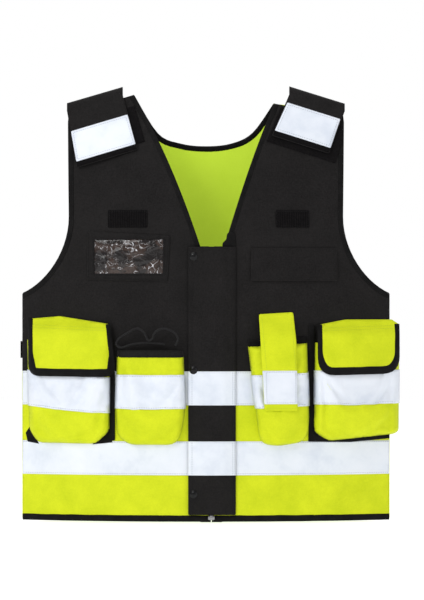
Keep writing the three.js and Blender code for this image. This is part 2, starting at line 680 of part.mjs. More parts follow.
for (const [hand, { pocket, outline }] of Object.entries(CARGO_FLAPS)) {
  const { face } = POCKETS[pocket];
  const top = Math.max(...outline.map(([, z]) => z));
  const inside = (x, z) => {
    const over = smooth((top - z) / FLAP_RAMP);
    return POCKET_BACK + (face(x, z) + FLAP_CLEAR - POCKET_BACK) * over;
  };
  const outside = (x, z) => inside(x, z) + CLOTH;
  const shape = polygon(outline);
  const middle = inset(outline, FLAP_BINDING).map(([x, z]) => [x, z > top - 20 ? z + 14 : z]);
  const group = new THREE.Group();
  vest.add(group);
  const whole = layer(FRONT, shape, inside, outside, POCKET_GRID);
  const bound = layer(
    FRONT, shape, (x, z) => inside(x, z) - 0.3, (x, z) => outside(x, z) + 0.4, POCKET_GRID);
  const panelCut = prism(polygon(inset(middle, GAP)));
  addSolid(`${hand}_cargo_flap`, whole.intersect(panelCut), 'lime', group);
  addSolid(`${hand}_cargo_flap_binding`, bound.subtract(prism(polygon(middle))), 'black', group);
}

// Strap over the radio pocket's mouth, sewn above it and closed on the pocket's face
const RADIO_STRAP = { top: 309, outline: [[86, 164], [135, 164], [133, 265], [128.5, 309], [78, 306]] };
const RADIO_PATCH = [[87, 174], [134, 174], [133.5, 223], [86, 223]];
const RADIO_TOP = 264;           // mouth of the radio pocket under the strap
const RADIO_MIDDLE = 106;        // middle of the radio pocket, where it stands out most
const RADIO_CLEAR = 2;
const radioFace = POCKETS.radio_pocket.face;
const RADIO_STRAP_GRID = { grid: 25, rise: 12 };

function radioStrapInside(x, z) {
  const over = smooth((RADIO_STRAP.top - z) / 40);
  const onPocket = radioFace(RADIO_MIDDLE, Math.min(z, RADIO_TOP)) + RADIO_CLEAR;
  return POCKET_BACK + (onPocket - POCKET_BACK) * over;
}

const radioStrapOutside = (x, z) => radioStrapInside(x, z) + CLOTH;
const radioStrap = new THREE.Group();
vest.add(radioStrap);
addSolid(
  'radio_strap',
  layer(FRONT, polygon(RADIO_STRAP.outline), radioStrapInside, radioStrapOutside, RADIO_STRAP_GRID),
  'lime', radioStrap);
const strapPatch = layer(
  FRONT, polygon(RADIO_PATCH),
  (x, z) => radioStrapOutside(x, z) + GAP, (x, z) => radioStrapOutside(x, z) + GAP + TAPE, RADIO_STRAP_GRID);
addSolid('radio_strap_patch', strapPatch, 'silver', radioStrap);

// ---- Drawcord and side tabs ---------------------------------------------------------------

const CORD_RADIUS = 1.5;
const CORD_ROUTE = [
  [-60, 262], [-84, 264], [-108, 262], [-124, 257], [-132, 262], [-127, 271], [-113, 280], [-101, 285],
  [-91, 279], [-85, 268], [-79, 270], [-75, 279], [-64, 285], [-49, 281], [-41, 271], [-45, 260],
];
const CORD_DEPTH = 7;
const cordCurve = new THREE.CatmullRomCurve3(CORD_ROUTE.map(([x, z], i) => {
  const depth = POCKET_BACK + CORD_DEPTH + i * 0.45;
  return new THREE.Vector3(x, surfaceY(FRONT, x, z, depth), z);
}));
const cordSection = new THREE.Shape();
cordSection.absarc(0, 0, CORD_RADIUS, 0, 2 * Math.PI);
const cord = new THREE.ExtrudeGeometry(cordSection, {
  extrudePath: cordCurve, steps: 44, curveSegments: 4, bevelEnabled: false });
addSolid('drawcord', solidFromGeometry(cord), 'black');

const TAB = { low: 241, high: 266, reach: 3.5, inboard: 240 };
for (const [hand, handed] of Object.entries(HANDS)) {
  const far = handed * (HALF_WIDTH + TAB.reach);
  const near = handed * TAB.inboard;
  const shape = rectangle(Math.min(near, far), Math.max(near, far), TAB.low, TAB.high);
  addSolid(`side_tab_${hand}`, layer(BACK, shape, ON_PANEL, ON_PANEL + 1.5), 'black');
}

export default vest;
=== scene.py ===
"""High visibility vest: the visual model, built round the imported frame.

Outlines are given in millimetres, x from the vest's middle and z up from the hem, and
world() turns them into the frame's metres. Each cloth piece is a fine triangulated sheet
laid on the vest's bowed surface; tapes, bindings and stitches are laid on the sheets.
"""
import math

import bmesh
import bpy
import numpy as np
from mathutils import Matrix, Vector, geometry, noise
from mathutils.bvhtree import BVHTree

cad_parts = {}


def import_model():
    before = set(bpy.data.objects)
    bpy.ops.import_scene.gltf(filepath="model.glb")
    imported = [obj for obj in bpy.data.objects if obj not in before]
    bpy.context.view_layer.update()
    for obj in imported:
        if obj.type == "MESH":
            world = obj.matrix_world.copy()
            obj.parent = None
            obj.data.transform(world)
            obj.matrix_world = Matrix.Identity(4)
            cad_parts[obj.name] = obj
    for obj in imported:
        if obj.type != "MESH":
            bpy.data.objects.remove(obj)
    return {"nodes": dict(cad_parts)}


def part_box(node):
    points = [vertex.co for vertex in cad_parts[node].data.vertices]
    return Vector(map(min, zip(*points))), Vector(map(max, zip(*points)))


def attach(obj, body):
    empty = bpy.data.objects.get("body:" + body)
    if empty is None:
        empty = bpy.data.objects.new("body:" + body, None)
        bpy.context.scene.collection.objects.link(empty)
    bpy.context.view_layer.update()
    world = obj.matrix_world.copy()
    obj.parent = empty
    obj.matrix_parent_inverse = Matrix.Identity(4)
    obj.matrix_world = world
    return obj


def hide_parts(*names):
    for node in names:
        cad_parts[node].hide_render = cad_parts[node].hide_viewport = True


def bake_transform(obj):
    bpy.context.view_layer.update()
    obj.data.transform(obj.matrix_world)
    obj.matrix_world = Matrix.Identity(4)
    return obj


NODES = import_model()["nodes"]
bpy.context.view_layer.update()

# ---- Driving dimensions, from the frame ------------------------------------------------------

MM = 0.001
GAP = 0.3                        # between pieces that lie on each other
CLOTH = 1.2                      # the frame's cloth
HEM_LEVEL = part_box("hem_binding")[0].z
HALF_WIDTH = -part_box("front_right_lower")[0].x / MM
BOW = -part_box("front_right_lower")[0].y / MM - GAP - CLOTH
BOW_POWER = 2.2
BOW_TOP = 410                    # height where the bow starts to close towards the shoulders
FOLD_BOW = 10                    # what is left of the bow at the shoulders
SHOULDER_Z = -HEM_LEVEL / MM
SHOULDER_X = 165
SHOULDER_SLOPE = 0.287
ON_PANEL = CLOTH + GAP
TAPE = 0.6
POCKET_BACK = ON_PANEL + TAPE + GAP
FAR = 1e9

FRONT = -1
BACK = 1
HANDS = {"right": -1, "left": 1}


def node_span(node):
    """A node's left, right, bottom and top in millimetres, heights from the hem."""
    low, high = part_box(node)
    return low.x / MM, high.x / MM, (low.z - HEM_LEVEL) / MM, (high.z - HEM_LEVEL) / MM


def world(x, y, z):
    return Vector((x * MM, y * MM, HEM_LEVEL + z * MM))


HEM = node_span("hem_binding")[3]
BINDING = 7
STRIPES = {
    "lower": node_span("back_tape_lower")[2:],
    "upper": node_span("back_tape_upper")[2:],
}
COLOUR_SPLIT = node_span("front_right_lower")[3] + GAP / 2
V_BOTTOM = 406
ARMPIT_Z = 336
ARMHOLE_X = 202
ZIP_X = (node_span("zip_box")[0] + node_span("zip_box")[1]) / 2
FLAP_FREE_X, FLAP_SEWN_X, FLAP_LOW, FLAP_HIGH = node_span("storm_flap")


# ---- The vest's surface ----------------------------------------------------------------------

def clamp(t, low=0.0, high=1.0):
    return max(low, min(high, t))


def smooth(t):
    t = clamp(t)
    return t * t * (3 - 2 * t)


def shoulder_height(x):
    return SHOULDER_Z - SHOULDER_SLOPE * (abs(x) - SHOULDER_X)


def bow(x, z):
    """Distance of the inside face from the plane of the side seams."""
    rise = clamp((z - BOW_TOP) / (shoulder_height(x) - BOW_TOP), 0, 1.25)
    depth = FOLD_BOW + (BOW - FOLD_BOW) * math.cos(math.pi / 2 * rise)
    across = abs(x) / HALF_WIDTH
    if across > 1:
        return -0.25 * (abs(x) - HALF_WIDTH)
    return depth * (1 - across ** BOW_POWER)


def ripple(x, z, seed, across, up):
    return noise.noise(Vector((x / across, seed * 3.7, z / up)))


def crease(x, z, seed, angle, long, short):
    """Sharp folds that run along one direction, from 0 to 1."""
    c, s = math.cos(angle), math.sin(angle)
    value = noise.noise(Vector(((x * c + z * s) / long, seed * 5.1, (z * c - x * s) / short)))
    return (1 - min(1, abs(value) * 3.2)) ** 2


def near_line(x, z, start, end, width):
    """1 on a line between two points, falling off smoothly to 0 beside it."""
    (x0, z0), (x1, z1) = start, end
    dx, dz = x1 - x0, z1 - z0
    t = clamp(((x - x0) * dx + (z - z0) * dz) / (dx * dx + dz * dz))
    fade = 1 - (2 * t - 1) ** 4
    return fade * math.exp(-(math.hypot(x - x0 - dx * t, z - z0 - dz * t) / width) ** 2)


def wrinkle(side, x, z):
    """How far the sewn body's cloth stands in or out, the same for every layer on it."""
    calm = smooth((abs(x - ZIP_X) - 44) / 40) if side == FRONT else 1.0
    calm *= smooth((shoulder_height(x) - 24 - z) / 60) * smooth((HALF_WIDTH - abs(x)) / 14)
    soft = 1.7 * ripple(x, z, 1 + side, 95, 150) + 0.7 * ripple(x, z, 4 + side, 38, 52)
    low = smooth((78 - z) / 20)
    folds = 2.6 * low * crease(x, z, 2 + side, 0.75, 60, 17) * (0.5 + ripple(x, z, 8, 60, 60))
    chest = smooth((z - 300) / 40)
    folds += 0.9 * chest * crease(x, z, 5 + side, -1.0, 110, 34) * (0.4 + ripple(x, z, 9, 80, 80))
    if side == FRONT:
        folds += 4.5 * near_line(x, z, (-96, 548), (-196, 474), 12)
    return calm * (soft + folds)


def on_body(side, offset=0.0):
    """A place function for cloth that lies on the body at an offset, given in mm or as f(x, z)."""
    def place(x, z, lift=0.0):
        out = offset(x, z) if callable(offset) else offset
        return world(x, side * (GAP + bow(x, z) + out + lift + wrinkle(side, x, z)), z)
    return place


# ---- Outlines --------------------------------------------------------------------------------

def resampled(points, step, closed=False):
    """The same line with points at most a step apart, its corners kept."""
    made = []
    ends = list(zip(points, points[1:] + points[:1])) if closed else list(zip(points, points[1:]))
    for (x0, z0), (x1, z1) in ends:
        count = max(1, math.ceil(math.hypot(x1 - x0, z1 - z0) / step))
        made += [(x0 + (x1 - x0) * k / count, z0 + (z1 - z0) * k / count) for k in range(count)]
    return made if closed else made + [points[-1]]


def bezier(a, b, c, d, count=14):
    def at(t):
        return tuple(
            a[i] * (1 - t) ** 3 + 3 * b[i] * t * (1 - t) ** 2 + 3 * c[i] * t * t * (1 - t) + d[i] * t ** 3
            for i in (0, 1))
    return [at(k / count) for k in range(count + 1)]


def rounded(points, radius, steps=4, below=FAR):
    """A closed outline with its corners rounded off, those below a height only if one is given."""
    made = []
    count = len(points)
    for i, here in enumerate(points):
        here = Vector(here)
        if here.y > below:
            made.append(tuple(here))
            continue
        before = Vector(points[i - 1]) - here
        after = Vector(points[(i + 1) % count]) - here
        r = min(radius, before.length * 0.45, after.length * 0.45)
        start, end = here + before.normalized() * r, here + after.normalized() * r
        for k in range(steps + 1):
            t = k / steps
            made.append(tuple(start * (1 - t) ** 2 + here * 2 * t * (1 - t) + end * t * t))
    return made


def shifted(points, distance):
    """An open line moved to the left of its direction."""
    made = []
    for i, (x, z) in enumerate(points):
        x0, z0 = points[max(0, i - 1)]
        x1, z1 = points[min(len(points) - 1, i + 1)]
        length = math.hypot(x1 - x0, z1 - z0)
        made.append((x - (z1 - z0) / length * distance, z + (x1 - x0) / length * distance))
    return made


def mirrored(points):
    return [(-x, z) for x, z in points]


def span(outline):
    """An outline's left, right, bottom and top."""
    xs, zs = zip(*outline)
    return min(xs), max(xs), min(zs), max(zs)


def box_outline(left, right, bottom, top):
    return [(left, bottom), (right, bottom), (right, top), (left, top)]


def cropped(outline, clip):
    """The part of an outline inside a convex one, whose points run anticlockwise."""
    made = list(outline)
    for (ax, az), (bx, bz) in zip(clip, clip[1:] + clip[:1]):
        sides = [(bx - ax) * (z - az) - (bz - az) * (x - ax) for x, z in made]
        kept = []
        for k, here in enumerate(made):
            last = made[k - 1]
            if (sides[k - 1] >= 0) != (sides[k] >= 0):
                t = sides[k - 1] / (sides[k - 1] - sides[k])
                kept.append((last[0] + (here[0] - last[0]) * t, last[1] + (here[1] - last[1]) * t))
            if sides[k] >= 0:
                kept.append(here)
        made = kept
    return made


def banded(outline, bottom_line, top_line):
    """The part of an outline between two slanting lines, each given as (height left, height right)."""
    left, right, _, _ = span(outline)
    return cropped(outline, [(left - 1, bottom_line[0]), (right + 1, bottom_line[1]),
                             (right + 1, top_line[1]), (left - 1, top_line[0])])


def polygon_area(points):
    return abs(sum(x0 * z1 - x1 * z0 for (x0, z0), (x1, z1) in zip(points, points[1:] + points[:1]))) / 2


def edge_distance(points, x, z, skip_top=None):
    """Distance from a point to the outline's edges, leaving out those at the mouth."""
    best = FAR
    for (x0, z0), (x1, z1) in zip(points, points[1:] + points[:1]):
        if skip_top is not None and z0 > skip_top and z1 > skip_top:
            continue
        dx, dz = x1 - x0, z1 - z0
        t = clamp(((x - x0) * dx + (z - z0) * dz) / (dx * dx + dz * dz))
        best = min(best, math.hypot(x - x0 - dx * t, z - z0 - dz * t))
    return best


def clear_of(outline, x, z, margin=0.0):
    """True for a point outside a closed outline and not within the margin of it."""
    crossed = False
    for (x0, z0), (x1, z1) in zip(outline, outline[1:] + outline[:1]):
        if (z0 > z) != (z1 > z) and x < x0 + (z - z0) / (z1 - z0) * (x1 - x0):
            crossed = not crossed
    return not crossed and (margin == 0 or edge_distance(outline, x, z) > margin)


# ---- Sheets of cloth -------------------------------------------------------------------------

ROW_STEP = 0.866                 # between rows of the lattice, in cells
EDGE_CLEAR = 0.45                # from the lattice to an edge, in cells


def lattice(outline, cell):
    """Points of a hexagonal lattice inside an outline, clear of its edge."""
    ring = np.array(outline)
    low, high = ring.min(0), ring.max(0)
    rows = np.arange(low[1] + cell * 0.5, high[1], cell * ROW_STEP)
    points = []
    for k, z in enumerate(rows):
        xs = np.arange(low[0] + cell * (0.5 + 0.5 * (k % 2)), high[0], cell)
        points += [(x, z) for x in xs]
    points = np.array(points)
    a, b = ring, np.roll(ring, -1, axis=0)
    inside = np.zeros(len(points), bool)
    for (x0, z0), (x1, z1) in zip(a, b):
        if z0 == z1:
            continue
        crosses = (points[:, 1] > min(z0, z1)) & (points[:, 1] <= max(z0, z1))
        inside ^= crosses & (points[:, 0] < x0 + (points[:, 1] - z0) * (x1 - x0) / (z1 - z0))
    points = points[inside]
    far = np.full(len(points), FAR)
    for p, q in zip(a, b):
        d = q - p
        t = np.clip(((points - p) @ d) / max(d @ d, 1e-9), 0, 1)
        far = np.minimum(far, np.linalg.norm(points - p - t[:, None] * d, axis=1))
    return [tuple(p) for p in points[far > cell * EDGE_CLEAR]]


class Sheet:
    """A piece of cloth: its flat cut, and where each point of it lies."""

    def __init__(self, outline, place, cell=5.0, holes=()):
        rings = [resampled(line, cell, closed=True) for line in (outline, *holes)]
        flat, loops = [], []
        for ring in rings:
            loops.append(list(range(len(flat), len(flat) + len(ring))))
            flat += ring
        inner = lattice(rings[0], cell)
        flat += [p for p in inner if all(clear_of(hole, *p, cell * EDGE_CLEAR) for hole in holes)]
        cut = geometry.delaunay_2d_cdt([Vector(p) for p in flat], [], loops, 1, 1e-4)
        self.outline = outline
        self.flat = [(p.x, p.y) for p in cut[0]]
        self.faces = [tuple(f) for f in cut[2] if all(clear_of(hole, *self.middle(f)) for hole in holes)]
        self.points = [place(x, z) for x, z in self.flat]
        self.turn_faces(place)
        self.index()

    def middle(self, face):
        return tuple(sum(self.flat[i][k] for i in face) / len(face) for k in (0, 1))

    def flat_area(self):
        return sum(polygon_area([self.flat[i] for i in f]) for f in self.faces)

    def turn_faces(self, place):
        """Turns the faces so that they look outwards."""
        x, z = self.flat[self.faces[0][0]]
        outward = place(x, z, 1.0) - place(x, z)
        a, b, c = (self.points[i] for i in self.faces[0])
        if (b - a).cross(c - a).dot(outward) < 0:
            self.faces = [f[::-1] for f in self.faces]

    def index(self):
        self.tree = BVHTree.FromPolygons([Vector((x, z, 0)) for x, z in self.flat], self.faces)
        self.normals = [Vector() for _ in self.points]
        for f in self.faces:
            a, b, c = (self.points[i] for i in f)
            n = (b - a).cross(c - a)
            for i in f:
                self.normals[i] += n
        for n in self.normals:
            n.normalize()

    def place(self, x, z, lift=0.0):
        """The point of the sheet at a flat place, lifted off it in millimetres."""
        near, _, face, _ = self.tree.find_nearest(Vector((x, z, 0)))
        ids = self.faces[face]
        a, b, c = (Vector((*self.flat[i], 0)) for i in ids)
        whole = (b - a).cross(c - a).z
        u = (b - near).cross(c - near).z / whole
        v = (c - near).cross(a - near).z / whole
        weights = (u, v, 1 - u - v)
        point = sum((self.points[i] * w for i, w in zip(ids, weights)), Vector())
        normal = sum((self.normals[i] * w for i, w in zip(ids, weights)), Vector()).normalized()
        return point + normal * lift * MM


PIECES = []


def new_piece(name, points, faces, material, body, uvs):
    """A mesh that moves with a body, and stands for the frame's node of the same name if there is one."""
    mesh = bpy.data.meshes.new(name)
    mesh.from_pydata([tuple(p) for p in points], [], faces)
    mesh.validate()
    layer = mesh.uv_layers.new(name="flat")
    for loop in mesh.loops:
        layer.data[loop.index].uv = uvs[loop.vertex_index]
    mesh.shade_smooth()
    mesh.materials.append(material)
    piece = bpy.data.objects.new(name, mesh)
    bpy.context.scene.collection.objects.link(piece)
    if name in NODES:
        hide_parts(name)
    PIECES.append((piece, body))
    return piece


def cloth(name, sheet, material, body="body", thick=0.7, held=None):
    uvs = [(x * MM, z * MM) for x, z in sheet.flat]
    piece = new_piece(name, sheet.points, sheet.faces, material, body, uvs)
    solid = piece.modifiers.new("thickness", "SOLIDIFY")
    solid.thickness = thick * MM
    solid.offset = 0
    solid.use_even_offset = False
    if held:
        left, right, low, high = span(sheet.outline)
        size = (right - left) * MM, (high - low) * MM
        area = min(sheet.flat_area() * MM * MM, size[0] * size[1])


# ---- Swept and stitched pieces ---------------------------------------------------------------

class Shape:
    """Points, faces and flat coordinates gathered for one mesh."""

    def __init__(self):
        self.points, self.faces, self.uvs = [], [], []

    def tube(self, rings, caps=True, uvs=None):
        """A closed tube through rings of points."""
        first, width = len(self.points), len(rings[0])
        for r, ring in enumerate(rings):
            self.points += ring
            self.uvs += uvs[r] if uvs else [(k * MM, r * MM) for k in range(width)]
        for r in range(len(rings) - 1):
            for k in range(width):
                a, b = first + r * width + k, first + r * width + (k + 1) % width
                self.faces.append((a, b, b + width, a + width))
        if caps:
            last = first + (len(rings) - 1) * width
            self.faces.append(tuple(range(first + width - 1, first - 1, -1)))
            self.faces.append(tuple(range(last, last + width)))

    def piece(self, name, material, body="body", slot=None):
        made = new_piece(name, self.points, self.faces, material, body, self.uvs)
        work = bmesh.new()
        work.from_mesh(made.data)
        bmesh.ops.recalc_face_normals(work, faces=work.faces)
        work.to_mesh(made.data)
        work.free()
        return made


def bind_edge(shape, sheet, line, width, thick=1.1, seed=0.0):
    """A folded tape round a free edge, its width given in mm or as f(x, z). The cloth lies to the left."""
    line = resampled(line, 4.0)
    rings, uvs = [], []
    along = 0.0
    for i, (x, z) in enumerate(line):
        x0, z0 = line[max(0, i - 1)]
        x1, z1 = line[min(len(line) - 1, i + 1)]
        length = math.hypot(x1 - x0, z1 - z0)
        inward = (-(z1 - z0) / length, (x1 - x0) / length)
        along += math.hypot(x - x0, z - z0)
        wide = width(x, z) if callable(width) else width
        wide *= 1 + 0.07 * noise.noise(Vector((along / 22, seed, 0)))

        def cloth_point(deep, lift):
            return sheet.place(x + inward[0] * deep, z + inward[1] * deep, lift)

        edge, inner = cloth_point(0, 0), cloth_point(3, 0)
        out = (edge - inner).normalized() * MM
        up = (cloth_point(0, 1) - edge)
        puff = thick * (1 + 0.18 * noise.noise(Vector((along / 9, seed, 4))))
        ring = [
            cloth_point(wide, thick * 0.55), cloth_point(wide * 0.86, puff),
            cloth_point(wide * 0.4, puff * 1.12), edge + up * puff * 0.95,
            edge + out * 0.8 + up * thick * 0.5, edge + out * 0.8 - up * thick * 0.5,
            edge - up * puff * 0.95, cloth_point(wide * 0.4, -puff * 1.12),
            cloth_point(wide * 0.86, -puff), cloth_point(wide, -thick * 0.55)]
        rings.append(ring)
        uvs.append([(k * 0.1 * wide * MM, along * MM) for k in range(len(ring))])
    shape.tube(rings, uvs=uvs)


SEAMS = {}                       # the stitches of each body and thread
STITCH = 3.4                     # length of a stitch with its gap
STITCH_ENDS = ((0, 0.12, -0.35), (0.2, 0.3, 0.0), (0.8, 0.3, 0.0), (1, 0.12, -0.35))


def stitch(sheet, line, body="body", thread="black", lift=0.35):
    """A row of stitches along a line on a sheet."""
    points = resampled(line, 1.2)
    places = [(0.0, points[0])]
    for a, b in zip(points, points[1:]):
        places.append((places[-1][0] + math.hypot(b[0] - a[0], b[1] - a[1]), b))
    total = places[-1][0]
    count = max(1, round(total / STITCH))
    shape = SEAMS.setdefault((body, thread), Shape())

    def at(distance):
        distance = clamp(distance, 0, total)
        k = next((i for i in range(1, len(places)) if places[i][0] >= distance), len(places) - 1)
        (s0, a), (s1, b) = places[k - 1], places[k]
        t = (distance - s0) / max(s1 - s0, 1e-6)
        return a[0] + (b[0] - a[0]) * t, a[1] + (b[1] - a[1]) * t

    for k in range(count):
        start = (k + 0.13) * total / count
        end = (k + 0.87) * total / count
        rings = []
        for t, radius, sink in STITCH_ENDS:
            x, z = at(start + (end - start) * t)
            x2, z2 = at(start + (end - start) * t + 0.6)
            centre, top = sheet.place(x, z, lift + sink), sheet.place(x, z, lift + sink + radius)
            up = top - centre
            ahead = sheet.place(x2, z2, lift + sink) - centre
            if ahead.length < 1e-7:
                ahead = previous
            previous = ahead
            side = ahead.cross(up).normalized() * up.length
            rings.append([centre + up * math.cos(a) + side * math.sin(a)
                          for a in (0.0, 1.26, 2.51, 3.77, 5.03)])
        shape.tube(rings)


def loft_box(shape, centre, sizes, bevel):
    """A box with chamfered edges that faces the front: its width, height and depth in millimetres."""
    w, h, d = (s / 2 * MM for s in sizes)
    b = min(w, h, d) * bevel * 2
    rings = []
    for depth, shrink in ((-d, b), (-d + b, 0), (d - b, 0), (d, b)):
        a, c = w - shrink, h - shrink
        corner = min(a, c) * 0.35
        outline = [(-a, -c + corner), (-a + corner, -c), (a - corner, -c), (a, -c + corner),
                   (a, c - corner), (a - corner, c), (-a + corner, c), (-a, c - corner)]
        rings.append([centre + Vector((p, -depth, q)) for p, q in outline])
    shape.tube(rings)


# ---- Materials -------------------------------------------------------------------------------

class Finish:
    """A material, and short ways to add nodes to it. Constants name the shader's inputs, _ for a space."""

    def __init__(self, name, **constants):
        self.material = bpy.data.materials.new(name)
        self.material.use_nodes = True
        self.tree = self.material.node_tree
        self.shader = self.tree.nodes["Principled BSDF"]
        for key, value in constants.items():
            self.shader.inputs[key.replace("_", " ")].default_value = value
        self.flat = self.add("UVMap", uv_map="flat").outputs[0]
        self.solid = self.add("TexCoord").outputs["Object"]

    def add(self, kind, inputs=None, **settings):
        made = self.tree.nodes.new("ShaderNode" + kind)
        for key, value in settings.items():
            setattr(made, key, value)
        for key, value in (inputs or {}).items():
            if isinstance(value, bpy.types.NodeSocket):
                self.tree.links.new(value, made.inputs[key])
            else:
                made.inputs[key].default_value = value
        return made

    def noise(self, scale, detail=3.0, rough=0.55, at=None, stretch=None, distortion=0.0):
        place = at or self.solid
        if stretch:
            place = self.add("Mapping", {"Vector": place, "Scale": stretch}).outputs[0]
        return self.add("TexNoise", {"Vector": place, "Scale": scale, "Detail": detail, "Roughness": rough,
                                     "Distortion": distortion}).outputs["Fac"]

    def waves(self, pitch, direction, distortion=0.0):
        return self.add("TexWave", {
            "Vector": self.flat, "Scale": WAVE_SCALE / pitch, "Distortion": distortion,
            "Detail": 1.0, "Detail Scale": 0.15},
            bands_direction=direction, wave_profile="SIN").outputs["Fac"]

    def math(self, operation, a, b):
        return self.add("Math", {0: a, 1: b}, operation=operation).outputs[0]

    def ramp(self, fac, *stops):
        made = self.add("ValToRGB", {"Fac": fac})
        elements = made.color_ramp.elements
        for k, (place, colour) in enumerate(stops):
            element = elements[k] if k < 2 else elements.new(place)
            element.position = place
            element.color = (*colour, 1)
        return made.outputs["Color"]

    def mix(self, fac, a, b):
        return self.add("Mix", {0: fac, 6: a, 7: b}, data_type="RGBA").outputs[2]

    def level(self, fac, low, high, start=0.0, end=1.0):
        return self.add("MapRange", {"Value": fac, "From Min": start, "From Max": end,
                                     "To Min": low, "To Max": high}).outputs[0]

    def look(self, colour, roughness=None):
        self.tree.links.new(colour, self.shader.inputs["Base Color"])
        if roughness:
            self.tree.links.new(roughness, self.shader.inputs["Roughness"])

    def bump(self, *layers):
        """Layers of (height, strength, depth in metres), the coarsest first. Returns the material."""
        normal = None
        for height, strength, depth in layers:
            inputs = {"Height": height, "Strength": strength, "Distance": depth}
            if normal:
                inputs["Normal"] = normal
            normal = self.add("Bump", inputs).outputs[0]
        self.tree.links.new(normal, self.shader.inputs["Normal"])
        return self.material


WAVE_SCALE = 0.314               # the wave texture's scale for a pitch of one metre
PAINT = (0.9, 1.0, 0.4, 1)       # the tint of the fluorescent cloths' sheen
ASH = (0.55, 0.52, 0.55, 1)


def woven(name, dark, light, pitch, tint, roughness, sheen=0.05, mottle=0.5, glow=(0, 0, 0), slubs=0.0):
    """Plain woven cloth: patches of tone, slubs of a few millimetres, threads both ways and a fine weave."""
    finish = Finish(name, Sheen_Weight=sheen, Sheen_Roughness=0.4, Sheen_Tint=tint, Specular_IOR_Level=0.14)
    # The glow is painted light: emission that brightens the cloth under any lamp.
    if any(glow):
        finish.shader.inputs["Emission Color"].default_value = (*glow, 1)
        finish.shader.inputs["Emission Strength"].default_value = 1.0
    warp, weft = (finish.waves(pitch, direction, 0.4) for direction in "XY")
    weave = finish.math("ABSOLUTE", finish.math("SUBTRACT", warp, weft), 0.0)
    patches = finish.noise(26, 4, 0.6)
    if slubs:
        patches = finish.math("ADD", finish.math("MULTIPLY", patches, 1 - slubs),
                              finish.math("MULTIPLY", finish.noise(430, 3, 0.65), slubs))
    threads = finish.noise(900, 2, 0.7, finish.flat, (1, 0.12, 1))
    cross = finish.noise(900, 2, 0.7, finish.flat, (0.12, 1, 1))
    tone = finish.math("ADD", finish.math("MULTIPLY", patches, mottle),
                       finish.math("MULTIPLY", finish.math("ADD", threads, cross), 0.5 * (1 - mottle)))
    colour = finish.ramp(tone, (0.3, dark), (0.68, light))
    shaded = finish.mix(finish.level(weave, 0.16, 0.0), colour, (*[c * 0.35 for c in dark], 1))
    finish.look(shaded, finish.level(patches, roughness - 0.08, roughness + 0.06))
    return finish.bump((finish.noise(60, 3, 0.5), 0.25, 0.0006), (weave, 0.35, 0.00012))


def binding_finish():
    """Grosgrain tape: fine ribs across its length."""
    finish = Finish("black_binding", Sheen_Weight=0.02, Sheen_Roughness=0.45, Specular_IOR_Level=0.12)
    tone = finish.noise(70, 4, 0.6)
    finish.look(finish.ramp(tone, (0.35, (0.0025, 0.0023, 0.0023)), (0.7, (0.0075, 0.007, 0.007))),
                finish.level(tone, 0.72, 0.86))
    return finish.bump((finish.noise(240, 3, 0.5), 0.3, 0.0004),
                       (finish.waves(0.0012, "Y", 0.3), 0.3, 0.0001))


def reflective_finish():
    """Glass-bead cloth: a fine grain, faint bluish smudges and handling marks."""
    finish = Finish("reflective_cloth", Specular_IOR_Level=0.4, Coat_Weight=0.05, Coat_Roughness=0.4)
    smudge = finish.noise(15, 4, 0.65)
    fine = finish.noise(90, 4, 0.6, stretch=(1, 1, 0.4))
    colour = finish.ramp(smudge, (0.3, (0.62, 0.67, 0.76)), (0.5, (0.74, 0.78, 0.85)),
                         (0.75, (0.80, 0.83, 0.89)))
    finish.look(finish.mix(finish.level(fine, 0.0, 0.12), colour, (0.50, 0.56, 0.67, 1)),
                finish.level(fine, 0.5, 0.68))
    finish.tree.links.new(finish.level(smudge, 0.0, 0.12), finish.shader.inputs["Metallic"])
    return finish.bump((finish.noise(34, 3, 0.5), 0.2, 0.0007), (finish.noise(2600, 2, 0.6), 0.2, 0.00005))


def pile_finish(name, rows=None):
    """Hook-and-loop tape: dense dark pile, woven in rows where a pitch and direction are given."""
    finish = Finish(name, Sheen_Weight=0.03, Sheen_Roughness=0.6, Sheen_Tint=(0.4, 0.38, 0.4, 1),
                    Specular_IOR_Level=0.06, Roughness=0.95)
    loops = finish.noise(1500, 3, 0.75)
    tufts = finish.noise(420, 4, 0.6)
    height = finish.math("MULTIPLY", loops, tufts)
    layers = [(tufts, 0.5, 0.0006), (loops, 0.7, 0.0004)]
    if rows:
        ribs = finish.waves(*rows, 2.2)
        height = finish.math("MULTIPLY", height, finish.level(ribs, 0.55, 1.2))
        layers.insert(0, (ribs, 0.35, 0.0004))
    finish.look(finish.ramp(height, (0.1, (0.0014, 0.0012, 0.0014)), (0.5, (0.011, 0.0098, 0.0104))))
    return finish.bump(*layers)


def vinyl_finish():
    """Clear crinkled film over a dark lining: brown patches of painted reflection, and thin painted
    highlights on the creases.
    """
    finish = Finish("crinkled_vinyl", Specular_IOR_Level=0.25, Coat_Weight=0.3, Coat_Roughness=0.03)
    folds = finish.noise(46, 2.0, 0.5, finish.flat, distortion=2.6)
    reflection_noise = finish.noise(34, 3, 0.6, finish.flat, (1, 1.4, 1))
    # Dark lining colour with brown patches of painted reflection in the film.
    patches = finish.ramp(reflection_noise, (0.46, (0.008, 0.006, 0.006)), (0.53, (0.026, 0.015, 0.011)),
                          (0.62, (0.045, 0.029, 0.024)), (0.7, (0.009, 0.008, 0.008)))
    # Thin near-white lines along the crease ridges: painted highlights.
    ridge = finish.math("ABSOLUTE", finish.math("SUBTRACT", folds, 0.56), 0.0)
    painted_glints = finish.math("MULTIPLY", finish.level(ridge, 1.0, 0.0, end=0.016),
                         finish.level(reflection_noise, 0.0, 1.0, 0.48, 0.56))
    finish.look(finish.mix(painted_glints, patches, (0.75, 0.76, 0.8, 1)), finish.level(reflection_noise, 0.05, 0.16))
    return finish.bump((folds, 0.8, 0.004))


